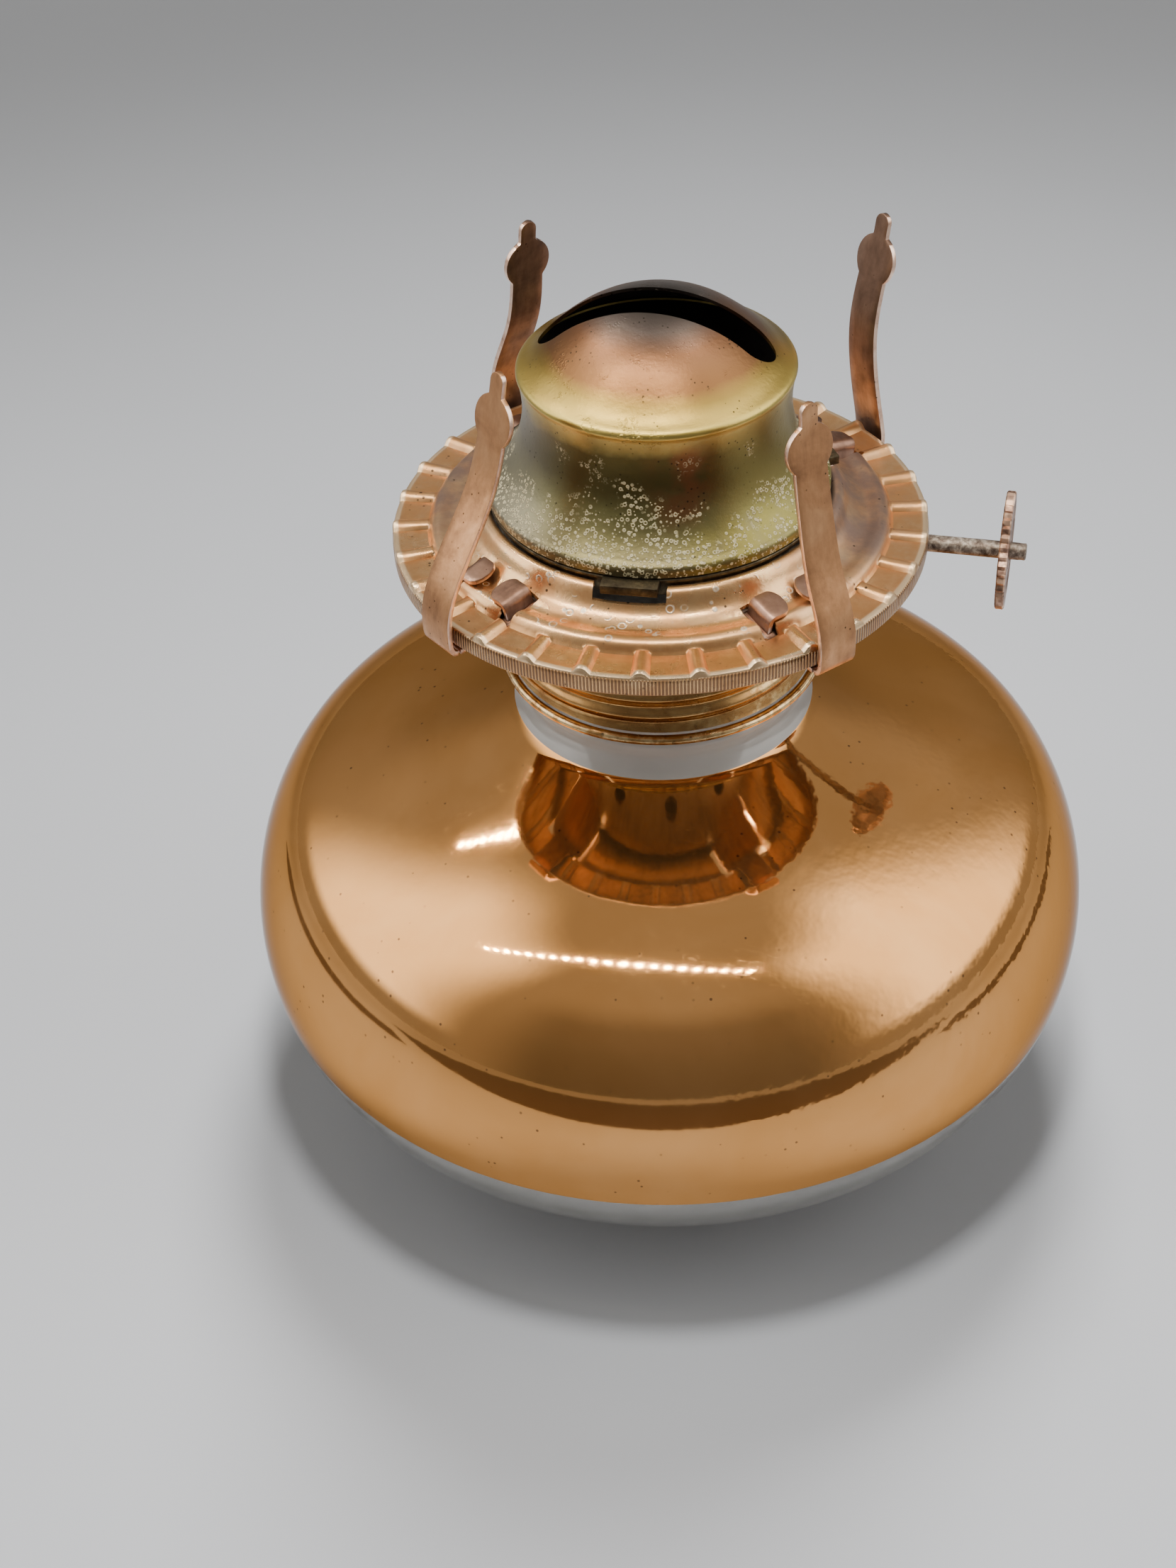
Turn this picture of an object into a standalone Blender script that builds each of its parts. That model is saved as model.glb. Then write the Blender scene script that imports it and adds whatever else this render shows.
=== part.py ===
"""A squat glass oil lamp font with a flat-wick burner, its dome and its four chimney prongs.

The origin is the middle of the glass base, +Z is up and the wick shaft runs along +X.
Lengths are millimetres in the names below and metres in Blender.
"""

from math import cos, pi, radians, sin, sqrt

import bmesh
import bpy
from mathutils import Matrix, Vector

MM = 0.001
GAP = 0.3
SHEET = 0.5

# Heights above the table that the rest is worked out from.
DECK_TOP = 110.5
GLASS_LIP = 95.4
COLLAR_BOTTOM = 85.1
FLOOR_PLATE = 98.4

# Glass font: the widest radius, its height and the foot it stands on.
FONT_RADIUS = 70.8
FONT_WAIST = 36.8
FOOT_RADIUS = 39.0
FOOT_INNER = 28.0
FOOT_KICK = 1.6
NECK_ROOT = 23.9
NECK_RADIUS = 22.2
NECK_BORE = 18.8
WALL = 3.2

# Screw thread between the glass neck and the rolled collar.
THREAD_PITCH = 3.2
THREAD_WIRE = 0.75
THREAD_TURNS = 1.5
COLLAR_INNER = 23.6

# Burner deck, its panels and what holds the prongs.
DECK_RADIUS = 41.5
RIM_DROP = 3.2
RIB_COUNT = 30
RIB_PHASE = radians(1.5)
RIB_WIDTH = 1.6
LIP_RADIUS = 26.3
TONGUE_OFFSET = 5.4
TONGUE_WIDTH = 5.0
TONGUE_RADIUS = 32.3
TONGUE_FOLD = 2.45
TONGUE_TILT = radians(12)
LUG_ANGLES = [radians(a) for a in (-87.5, 32.5, 152.5)]
LUG_WIDTH = 8.5

# Dome over the flame.
DOME_SKIRT = 26.3
DOME_SKIRT_Z = DECK_TOP + 6.6
DOME_SHOULDER_Z = DECK_TOP + 27.0
DOME_TOP_Z = DECK_TOP + 37.4
DOME_ROOF = [(4.2, 37.0), (8.0, 35.9), (12.0, 33.9), (15.2, 31.4), (18.0, 28.9), (19.6, 27.7), (20.55, 27.0)]
DOME_NECK = [(20.5, 26.2), (20.0, 20.5), (20.9, 15.5), (23.0, 11.0), (25.4, 8.4)]
SLOT_LENGTH = 35.7
SLOT_WIDTH = 7.7

# Wick, its flat tube and the shaft that raises it.
WICK_WIDTH = 25.4
WICK_THICK = 3.0
TUBE_WIDTH = 28.8
TUBE_THICK = 5.8
TUBE_TOP = DECK_TOP + 24.0
SHAFT_Y = 6.8
SHAFT_Z = DECK_TOP - 5.0
SHAFT_RADIUS = 1.35
SHAFT_END = 56.2
WHEEL_X = 53.0
WHEEL_RADIUS = 9.2
WHEEL_THICK = 1.4
SPROCKET_RADIUS = 5.0
SPROCKET_TEETH = 10
SPROCKET_X = 7.0
BOWL_RADIUS = 28.6
VENT_AT = (-8.0, -9.0)
VENT_RADIUS = 2.0

# Prongs: azimuth, then the radius at the heights of PRONG_HEIGHTS over the deck.
PRONG_HEIGHTS = (1.5, 10.0, 20.0, 30.0, 36.8)
PRONGS = {
    "front_left": (-128.0, (42.9, 39.2, 33.1, 30.0, 28.6)),
    "front_right": (-42.2, (42.9, 39.9, 37.2, 35.5, 35.2)),
    "back_right": (48.4, (42.6, 41.1, 40.7, 42.8, 44.1)),
    "back_left": (137.8, (42.9, 40.5, 35.8, 34.1, 33.2)),
}
PRONG_THICK = 0.8
PRONG_WIDTH = 6.4
HEAD_HEIGHT = 29.5
HEAD_RADIUS = 4.0
TIP_HEIGHT = 35.4
TIP_RADIUS = 1.4
PRONG_HINGE = (41.6, -RIM_DROP - GAP - PRONG_THICK / 2)

COLOURS = {
    "copper_glass": ((0.62, 0.30, 0.12), 0.12, 0.9),
    "copper": ((0.55, 0.31, 0.22), 0.38, 1.0),
    "dark_copper": ((0.36, 0.20, 0.14), 0.45, 1.0),
    "brass": ((0.42, 0.34, 0.16), 0.40, 1.0),
    "dark_brass": ((0.16, 0.13, 0.08), 0.50, 1.0),
    "steel": ((0.42, 0.40, 0.38), 0.45, 1.0),
    "rusty_steel": ((0.27, 0.18, 0.14), 0.60, 0.8),
    "cotton": ((0.80, 0.76, 0.66), 0.95, 0.0),
    "rubber": ((0.08, 0.07, 0.06), 0.80, 0.0),
}


def clear_scene():
    for obj in list(bpy.data.objects):
        bpy.data.objects.remove(obj, do_unlink=True)


def new_collection(name, hidden=False):
    collection = bpy.data.collections.new(name)
    bpy.context.scene.collection.children.link(collection)
    collection.hide_render = hidden
    return collection


def material(name):
    found = bpy.data.materials.get(name)
    if found:
        return found
    colour, roughness, metallic = COLOURS[name]
    made = bpy.data.materials.new(name)
    made.use_nodes = True
    shader = made.node_tree.nodes["Principled BSDF"]
    shader.inputs["Base Color"].default_value = (*colour, 1.0)
    shader.inputs["Roughness"].default_value = roughness
    shader.inputs["Metallic"].default_value = metallic
    return made


def add_part(name, mesh, finish, collection, at=(0.0, 0.0, 0.0)):
    obj = bpy.data.objects.new(name, mesh)
    obj.location = at
    obj.data.materials.clear()
    obj.data.materials.append(material(finish))
    collection.objects.link(obj)
    return obj


def join_cutter(obj, cutter, operation):
    """Cuts or joins with another object, which is kept as a hidden guide."""
    cutter.hide_render = True
    cutter.display_type = "WIRE"
    change = obj.modifiers.new(cutter.name, "BOOLEAN")
    change.operation = operation
    change.solver = "EXACT"
    change.object = cutter


def turned(name, outline, finish, collection, steps=40):
    """A profile of (radius, height) in millimetres turned about Z; its outer side runs downwards."""
    mesh = bpy.data.meshes.new(name)
    shape = bmesh.new()
    corners = [shape.verts.new((r * MM, 0.0, z * MM)) for r, z in outline]
    pairs = list(zip(corners, corners[1:]))
    if outline[0][0] > 0.0:
        pairs.append((corners[-1], corners[0]))
    for first, second in pairs:
        shape.edges.new((first, second))
    shape.to_mesh(mesh)
    shape.free()
    obj = add_part(name, mesh, finish, collection)
    screw = obj.modifiers.new("Turn", "SCREW")
    screw.axis = "Z"
    screw.steps = steps
    screw.render_steps = steps
    screw.use_merge_vertices = True
    screw.merge_threshold = 0.00001
    screw.use_smooth_shade = False
    return obj


def shell(line, thickness):
    """The closed outline of a sheet of this thickness whose middle follows a line, top to bottom."""
    half = thickness / 2
    outer, inner = [], []
    for i, (r, z) in enumerate(line):
        before = Vector(line[max(i - 1, 0)])
        after = Vector(line[min(i + 1, len(line) - 1)])
        along = (after - before).normalized()
        side = Vector((-along.y, along.x)) * half
        outer.append((r + side.x, z + side.y))
        inner.append((r - side.x, z - side.y))
    return outer + inner[::-1]


def prism(name, outline, low, high, finish, collection):
    """A flat outline in XY, filled and given a height."""
    curve = bpy.data.curves.new(name, "CURVE")
    curve.dimensions = "2D"
    curve.fill_mode = "BOTH"
    curve.extrude = (high - low) / 2 * MM
    line = curve.splines.new("POLY")
    line.points.add(len(outline) - 1)
    for point, (x, y) in zip(line.points, outline):
        point.co = (x * MM, y * MM, 0.0, 1.0)
    line.use_cyclic_u = True
    source = bpy.data.objects.new(name + "_outline", curve)
    source.location = (0.0, 0.0, (low + high) / 2 * MM)
    return as_mesh(source, name, finish, collection)


def as_mesh(source, name, finish, collection):
    """Turns a curve object into a mesh object with its caps welded, and removes the curve."""
    bpy.context.scene.collection.objects.link(source)
    bpy.context.view_layer.update()
    graph = bpy.context.evaluated_depsgraph_get()
    mesh = bpy.data.meshes.new_from_object(source.evaluated_get(graph))
    shape = bmesh.new()
    shape.from_mesh(mesh)
    shape.transform(source.matrix_world)
    bmesh.ops.remove_doubles(shape, verts=shape.verts, dist=0.000002)
    bmesh.ops.recalc_face_normals(shape, faces=shape.faces)
    shape.to_mesh(mesh)
    shape.free()
    bpy.data.objects.remove(source, do_unlink=True)
    return add_part(name, mesh, finish, collection)


def cylinder(name, radius, length, at, axis, finish, collection, segments=20):
    """A round bar centred on a point, along X, Y or Z."""
    mesh = bpy.data.meshes.new(name)
    shape = bmesh.new()
    bmesh.ops.create_cone(
        shape, cap_ends=True, segments=segments, radius1=radius * MM, radius2=radius * MM, depth=length * MM
    )
    turn = Vector((0, 0, 1)).rotation_difference(Vector(axis)).to_matrix().to_4x4()
    shape.transform(Matrix.Translation(Vector(at) * MM) @ turn)
    shape.to_mesh(mesh)
    shape.free()
    return add_part(name, mesh, finish, collection)


def box(name, size, at, finish, collection, azimuth=0.0):
    """A block centred on a point, turned about Z through the origin."""
    mesh = bpy.data.meshes.new(name)
    shape = bmesh.new()
    bmesh.ops.create_cube(shape, size=1.0)
    shape.transform(Matrix.Diagonal((*(Vector(size) * MM), 1.0)))
    shape.transform(Matrix.Rotation(azimuth, 4, "Z") @ Matrix.Translation(Vector(at) * MM))
    shape.to_mesh(mesh)
    shape.free()
    return add_part(name, mesh, finish, collection)


def stadium(width, thick, corners=6):
    """A flat oval outline: a strip with round ends."""
    half, round_end = (width - thick) / 2, thick / 2
    angles = [pi * i / corners for i in range(corners + 1)]
    right = [(half + round_end * sin(a), -round_end * cos(a)) for a in angles]
    return right + [(-x, -y) for x, y in right]


def arc(centre, radius, start, end, count):
    """Points of (radius, height) along an arc, its angles in degrees."""
    angles = [radians(start + (end - start) * i / (count - 1)) for i in range(count)]
    return [(centre[0] + radius * cos(a), centre[1] + radius * sin(a)) for a in angles]


def helix(name, radius, wire, low, turns, phase, finish, collection, per_turn=20):
    """A thread ridge: a wire wound about Z, thinning to nothing at both ends."""
    curve = bpy.data.curves.new(name, "CURVE")
    curve.dimensions = "3D"
    curve.bevel_depth = wire * MM
    curve.bevel_resolution = 0
    curve.use_fill_caps = True
    line = curve.splines.new("POLY")
    count = int(per_turn * turns)
    line.points.add(count)
    for i, point in enumerate(line.points):
        angle = phase + 2 * pi * i / per_turn
        fade = min(1.0, 0.35 + 0.2 * i, 0.35 + 0.2 * (count - i))
        height = low + THREAD_PITCH * i / per_turn
        point.co = (radius * MM * cos(angle), radius * MM * sin(angle), height * MM, 1.0)
        point.radius = fade
    source = bpy.data.objects.new(name + "_line", curve)
    return as_mesh(source, name, finish, collection)


def font_outline():
    """Inner floor to lip, then down the outside to the middle of the base."""
    shoulder = [(22.4, 80.2), (NECK_ROOT, 76.8), (30.5, 74.4), (39.6, 71.2), (51.4, 66.6), (62.2, 59.6)]
    belly = [(68.5, 49.2), (FONT_RADIUS, FONT_WAIST), (68.9, 25.6), (61.6, 14.4), (50.4, 6.4)]
    foot = [(FOOT_RADIUS + 2.0, 2.2), (FOOT_RADIUS, 0.0), (FOOT_INNER, 0.0)]
    foot += [(FOOT_INNER - 2.0, FOOT_KICK), (0.0, FOOT_KICK)]
    outside = [(NECK_BORE, GLASS_LIP), (NECK_RADIUS, GLASS_LIP)] + shoulder + belly + foot
    inside = [
        (0.0, FOOT_KICK + WALL + 1.0), (24.0, 5.8), (46.5, 9.6), (58.6, 17.2), (65.5, 27.2),
        (67.4, FONT_WAIST),
    ]
    inside += [
        (65.2, 47.9), (59.6, 57.2), (49.8, 63.4), (38.4, 67.8), (27.5, 71.4), (20.6, 75.2),
        (NECK_BORE, 80.5),
    ]
    return inside + outside


def make_font(parts, cutters):
    glass = turned("font_glass", font_outline(), "copper_glass", parts)
    ridge = helix(
        "neck_thread", NECK_RADIUS + 0.05, THREAD_WIRE, 88.2, THREAD_TURNS, 0.0, "copper_glass", cutters
    )
    join_cutter(glass, ridge, "UNION")


def make_gasket(parts):
    low = GLASS_LIP + GAP
    outline = [
        (NECK_RADIUS, low + 0.9), (NECK_RADIUS, low), (NECK_BORE + 0.6, low), (NECK_BORE + 0.6, low + 0.9),
    ]
    turned("neck_gasket", outline, "rubber", parts)


def make_collar(parts, cutters):
    top = GLASS_LIP + 1.2 + 2 * GAP
    bead = arc((25.1, COLLAR_BOTTOM + 0.8), 0.8, 70, -160, 5)
    outside = [(COLLAR_INNER + SHEET, top), (COLLAR_INNER + SHEET, COLLAR_BOTTOM + 3.0)] + bead
    inside = [
        (COLLAR_INNER, COLLAR_BOTTOM + 2.8), (COLLAR_INNER, top - SHEET), (NECK_BORE + 1.6, top - SHEET),
    ]
    outline = [(NECK_BORE + 1.6, top)] + outside + inside
    collar = turned("screw_collar", outline, "copper", parts)
    start = 88.2 + THREAD_PITCH / 2
    ridge = helix(
        "collar_thread", COLLAR_INNER + 0.15, THREAD_WIRE, start, THREAD_TURNS, 0.0, "copper", cutters
    )
    join_cutter(collar, ridge, "UNION")


def make_bowl(parts, cutters):
    """The draught bowl: a flared cup with a ring of air holes and one hole for the shaft."""
    low = GLASS_LIP + 1.2 + 3 * GAP
    line = [(BOWL_RADIUS, DECK_TOP + 0.7), (BOWL_RADIUS, low + 7.2), (BOWL_RADIUS - 0.9, low + 5.6)]
    line += [(24.3, low + 0.9), (23.2, low + 0.3), (NECK_BORE + 1.6, low + 0.3)]
    bowl = turned("draught_bowl", shell(line, SHEET), "copper", parts)
    holes = 12
    for k in range(holes):
        angle = 2 * pi * (k + 0.5) / holes
        outward = Vector((cos(angle), sin(angle), -0.7)).normalized()
        centre = Vector((26.2 * cos(angle), 26.2 * sin(angle), low + 3.3))
        punch = cylinder(f"air_punch_{k:02d}", 1.6, 6.0, centre, outward, "copper", cutters, segments=6)
        join_cutter(bowl, punch, "DIFFERENCE")
    bore = cylinder("shaft_punch", 2.85, 12.0, (BOWL_RADIUS, SHAFT_Y, SHAFT_Z), (1, 0, 0), "copper", cutters)
    join_cutter(bowl, bore, "DIFFERENCE")


def make_floor(parts, cutters):
    """The plate that carries the wick tube and closes the font."""
    middle = (0, 0, FLOOR_PLATE + SHEET / 2)
    plate = cylinder("burner_floor", 22.6, SHEET, middle, (0, 0, 1), "steel", parts, segments=32)
    outline = stadium(TUBE_WIDTH + 2 * GAP, TUBE_THICK + 2 * GAP)
    slot = prism("floor_slot", outline, FLOOR_PLATE - 2, FLOOR_PLATE + 3, "steel", cutters)
    join_cutter(plate, slot, "DIFFERENCE")
    radius = VENT_RADIUS + GAP
    vent = cylinder(
        "floor_vent_hole", radius, 4.0, (*VENT_AT, FLOOR_PLATE), (0, 0, 1), "steel", cutters, segments=16
    )
    join_cutter(plate, vent, "DIFFERENCE")


def make_diffuser(parts, cutters):
    """The pierced plate that spreads the draught under the dome."""
    middle = DECK_TOP + 1.4
    plate = cylinder("air_diffuser", 28.2, SHEET, (0, 0, middle), (0, 0, 1), "steel", parts, segments=32)
    outline = stadium(TUBE_WIDTH + 2 * GAP, TUBE_THICK + 2 * GAP)
    join_cutter(
        plate, prism("diffuser_slot", outline, middle - 2, middle + 2, "steel", cutters), "DIFFERENCE"
    )
    holes = 12
    for k in range(holes):
        angle = 2 * pi * (k + 0.5) / holes
        centre = (20.5 * cos(angle), 20.5 * sin(angle), middle)
        punch = cylinder(
            f"diffuser_punch_{k:02d}", 1.5, 4.0, centre, (0, 0, 1), "steel", cutters, segments=6
        )
        join_cutter(plate, punch, "DIFFERENCE")


def make_wick_tube(parts, cutters):
    low = GLASS_LIP - 12.0
    tube = prism("wick_tube", stadium(TUBE_WIDTH, TUBE_THICK), low, TUBE_TOP, "steel", parts)
    bore = stadium(TUBE_WIDTH - 2 * SHEET, TUBE_THICK - 2 * SHEET)
    join_cutter(tube, prism("wick_bore", bore, low - 2, TUBE_TOP + 2, "steel", cutters), "DIFFERENCE")
    for side in (-1, 1):
        size = (1.0 + 4 * GAP, 3.0, 8.2)
        window = box(f"window_{side}", size, (side * SPROCKET_X, TUBE_THICK / 2, SHAFT_Z), "steel", cutters)
        join_cutter(tube, window, "DIFFERENCE")


def make_vent_tube(parts):
    low, top, bore = GLASS_LIP - 3.4, DECK_TOP - 1.5, VENT_RADIUS - 0.4
    outline = [(VENT_RADIUS, top), (VENT_RADIUS, low), (bore, low), (bore, top)]
    obj = turned("vent_tube", outline, "steel", parts, steps=16)
    obj.location = (VENT_AT[0] * MM, VENT_AT[1] * MM, 0.0)


def make_housing(parts, cutters):
    """The bent bracket behind the wick tube, with a hole in each leg for the shaft."""
    half, near, far = 13.0, TUBE_THICK / 2 + GAP, SHAFT_Y + 6.0
    outer = [(half, near), (half, far), (-half, far), (-half, near)]
    inner = [
        (-half + SHEET, near), (-half + SHEET, far - SHEET),
        (half - SHEET, far - SHEET), (half - SHEET, near),
    ]
    low = FLOOR_PLATE + SHEET + GAP
    housing = prism("shaft_housing", outer + inner, low, DECK_TOP + 0.7, "steel", parts)
    bore = cylinder(
        "housing_bore", SHAFT_RADIUS + GAP, 40.0, (0, SHAFT_Y, SHAFT_Z), (1, 0, 0), "steel", cutters
    )
    join_cutter(housing, bore, "DIFFERENCE")


def make_bushing(parts, cutters):
    """The flanged eyelet where the shaft leaves the draught bowl."""
    at = (BOWL_RADIUS - 1.2, SHAFT_Y, SHAFT_Z)
    bush = cylinder("shaft_bushing", 2.5, 3.6, at, (1, 0, 0), "copper", parts)
    flange = cylinder(
        "bushing_flange", 3.6, 0.7, (BOWL_RADIUS + 0.75, SHAFT_Y, SHAFT_Z), (1, 0, 0), "copper", cutters
    )
    join_cutter(bush, flange, "UNION")
    bore = cylinder("bushing_bore", SHAFT_RADIUS + GAP, 12.0, at, (1, 0, 0), "copper", cutters)
    join_cutter(bush, bore, "DIFFERENCE")


def local_to(pivot, obj):
    """Hangs a part on its pivot, keeping where it is in the world."""
    obj.parent = pivot
    obj.matrix_parent_inverse = Matrix.Translation(-pivot.location)


def pivot_at(name, point, collection):
    pivot = bpy.data.objects.new(name, None)
    pivot.location = Vector(point) * MM
    collection.objects.link(pivot)
    return pivot


def make_shaft(parts, cutters):
    start = -14.0
    middle = ((start + SHAFT_END) / 2, SHAFT_Y, SHAFT_Z)
    along = (1, 0, 0)
    shaft = cylinder(
        "wick_shaft", SHAFT_RADIUS, SHAFT_END - start, middle, along, "rusty_steel", parts, segments=16
    )
    hub = (WHEEL_X, SHAFT_Y, SHAFT_Z)
    wheel = cylinder("thumb_wheel", WHEEL_RADIUS, WHEEL_THICK, hub, along, "dark_copper", parts, segments=30)
    bore = cylinder("wheel_bore", SHAFT_RADIUS + GAP, 6.0, hub, along, "steel", cutters, segments=16)
    join_cutter(wheel, bore, "DIFFERENCE")
    pivot = pivot_at("shaft_pivot", (0, SHAFT_Y, SHAFT_Z), parts)
    local_to(pivot, shaft)
    local_to(pivot, wheel)
    for name, side in (("sprocket_left", -1), ("sprocket_right", 1)):
        local_to(pivot, make_sprocket(name, side * SPROCKET_X, parts, cutters))


def make_sprocket(name, x, parts, cutters):
    """A star wheel: an outline of teeth, turned to stand across the shaft."""
    outline = []
    for k in range(SPROCKET_TEETH):
        step = 2 * pi / SPROCKET_TEETH
        for share, radius in ((-0.3, 3.7), (-0.08, SPROCKET_RADIUS), (0.08, SPROCKET_RADIUS), (0.3, 3.7)):
            angle = step * (k + share)
            outline.append((radius * cos(angle), radius * sin(angle)))
    star = prism(name, outline, -0.5, 0.5, "steel", parts)
    hub = Vector((x, SHAFT_Y, SHAFT_Z))
    star.data.transform(Matrix.Translation(hub * MM) @ Matrix.Rotation(pi / 2, 4, "Y"))
    bore = cylinder(name + "_bore", SHAFT_RADIUS + GAP, 3.0, hub, (1, 0, 0), "steel", cutters, segments=12)
    join_cutter(star, bore, "DIFFERENCE")
    return star


def make_wick(parts):
    wick = box(
        "wick", (WICK_WIDTH, WICK_THICK, TUBE_TOP - 14.0), (0, 0, (TUBE_TOP + 8.0) / 2), "cotton", parts
    )
    edges = wick.modifiers.new("Round", "BEVEL")
    edges.width = 0.6 * MM
    edges.segments = 1


def deck_line():
    """The middle of the deck's sheet, from the lip round the dome down to the rim."""
    lip = [(26.6, 5.0), (27.3, 5.3), (28.1, 4.5), (29.2, 2.9), (30.6, 1.8), (32.4, 1.2), (34.0, 1.2)]
    panels = [
        (35.2, 0.9), (35.9, -0.4), (40.9, -0.4), (DECK_RADIUS - 0.25, -0.7), (DECK_RADIUS - 0.25, -RIM_DROP),
    ]
    return [(r, DECK_TOP + z) for r, z in lip + panels]


def make_deck(parts, cutters):
    outline = shell(deck_line(), SHEET)
    deck = turned("deck", outline, "copper", parts, steps=48)
    for k in range(RIB_COUNT):
        size = (6.0, RIB_WIDTH, 0.9)
        at = (DECK_RADIUS - 0.1 - size[0] / 2, 0.0, DECK_TOP - 0.15)
        rib = box(f"rib_{k:02d}", size, at, "copper", cutters, azimuth=RIB_PHASE + 2 * pi * k / RIB_COUNT)
        join_cutter(deck, rib, "UNION")
    for name, (azimuth, _) in PRONGS.items():
        for side in (-1, 1):
            size = (TONGUE_WIDTH + 2 * GAP + 0.4, PRONG_THICK + 2 * GAP + 0.3, 8.0)
            at = (TONGUE_RADIUS, side * TONGUE_OFFSET, DECK_TOP + 1.0)
            slot = box(f"slot_{name}_{side}", size, at, "copper", cutters, azimuth=radians(azimuth))
            join_cutter(deck, slot, "DIFFERENCE")
    for k, angle in enumerate(LUG_ANGLES):
        size, at = (4.4, LUG_WIDTH + 2.4, 6.0), (27.0, 0, DECK_TOP + 6.6)
        notch = box(f"lug_notch_{k}", size, at, "copper", cutters, azimuth=angle)
        join_cutter(deck, notch, "DIFFERENCE")


def make_dome(parts, cutters):
    """The dome that draws the flame up through its slot."""
    skirt = [(DOME_SKIRT - 0.25, DECK_TOP + 7.9), (DOME_SKIRT - 0.25, DOME_SKIRT_Z)]
    line = [(r, DECK_TOP + z) for r, z in DOME_ROOF + DOME_NECK] + skirt
    outline = shell(line, SHEET)
    half = len(line)
    outer, inner = outline[:half], outline[half:]
    profile = [(0.0, DOME_TOP_Z + SHEET / 2)] + outer + inner + [(0.0, DOME_TOP_Z - SHEET / 2)]
    dome = turned("dome_cap", profile, "brass", parts)
    punch = stadium(SLOT_LENGTH, SLOT_WIDTH)
    slot = prism("dome_slot", punch, DOME_SHOULDER_Z - 4.0, DOME_TOP_Z + 4.0, "brass", cutters)
    join_cutter(dome, slot, "DIFFERENCE")


def make_seat_ring(parts, cutters):
    """The ring that the dome stands on, with the lugs that lock it in the deck."""
    low, top = DECK_TOP + 3.4, DOME_SKIRT_Z - GAP
    outline = [
        (LIP_RADIUS - 2.0, top), (DOME_SKIRT, top), (DOME_SKIRT, top - 0.5), (LIP_RADIUS - 0.4, top - 0.6),
    ]
    outline += [(LIP_RADIUS - 0.4, low), (LIP_RADIUS - 1.0, low), (LIP_RADIUS - 2.0, top - 0.8)]
    ring = turned("dome_seat_ring", outline, "dark_brass", parts)
    for k, angle in enumerate(LUG_ANGLES):
        lug = box(
            f"lug_{k}", (3.4, LUG_WIDTH, 1.5), (26.7, 0, top - 0.75), "dark_brass", cutters, azimuth=angle
        )
        join_cutter(ring, lug, "UNION")


def lofted_strip(name, sections, azimuth, finish, collection):
    """A bent strip lofted through sections of (radius, height, width) in a radial plane."""
    shape = bmesh.new()
    out = Vector((cos(azimuth), sin(azimuth), 0.0))
    across = Vector((-sin(azimuth), cos(azimuth), 0.0))
    up = Vector((0.0, 0.0, 1.0))
    loops = []
    for i, (r, z, width) in enumerate(sections):
        before = sections[max(i - 1, 0)]
        after = sections[min(i + 1, len(sections) - 1)]
        along = Vector((after[0] - before[0], after[1] - before[1])).normalized()
        side = across * width / 2
        face = (out * along.y - up * along.x) * PRONG_THICK / 2
        middle = out * r + up * z
        corners = (middle - side - face, middle + side - face, middle + side + face, middle - side + face)
        loops.append([shape.verts.new(corner * MM) for corner in corners])
    for lower, upper in zip(loops, loops[1:]):
        for k in range(4):
            shape.faces.new((lower[k], lower[k - 3], upper[k - 3], upper[k]))
    shape.faces.new(loops[0][::-1])
    shape.faces.new(loops[-1])
    bmesh.ops.recalc_face_normals(shape, faces=shape.faces)
    mesh = bpy.data.meshes.new(name)
    shape.to_mesh(mesh)
    shape.free()
    return add_part(name, mesh, finish, collection)


def prong_radius(height, radii):
    """A smooth curve through the radii at PRONG_HEIGHTS."""
    stops = PRONG_HEIGHTS
    i = max(k for k in range(len(stops) - 1) if height >= stops[k] or k == 0)
    t = (height - stops[i]) / (stops[i + 1] - stops[i])
    slope = [
        (radii[min(k + 1, len(radii) - 1)] - radii[max(k - 1, 0)])
        / (stops[min(k + 1, len(stops) - 1)] - stops[max(k - 1, 0)])
        for k in range(len(radii))
    ]
    span = stops[i + 1] - stops[i]
    h00, h10 = 2 * t**3 - 3 * t**2 + 1, t**3 - 2 * t**2 + t
    h01, h11 = 3 * t**2 - 2 * t**3, t**3 - t**2
    return h00 * radii[i] + h10 * span * slope[i] + h01 * radii[i + 1] + h11 * span * slope[i + 1]


def prong_width(height):
    """Strip, round head, narrow throat and rounded tip."""
    strip = PRONG_WIDTH - 0.03 * max(height, 0.0)
    head = HEAD_RADIUS**2 - (height - HEAD_HEIGHT) ** 2
    tip = TIP_RADIUS**2 - (height - TIP_HEIGHT) ** 2
    if height < HEAD_HEIGHT - 2.6:
        return strip
    if head > TIP_RADIUS**2:
        return 2 * sqrt(head)
    return 2 * sqrt(tip) if height > TIP_HEIGHT else 2 * TIP_RADIUS


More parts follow.
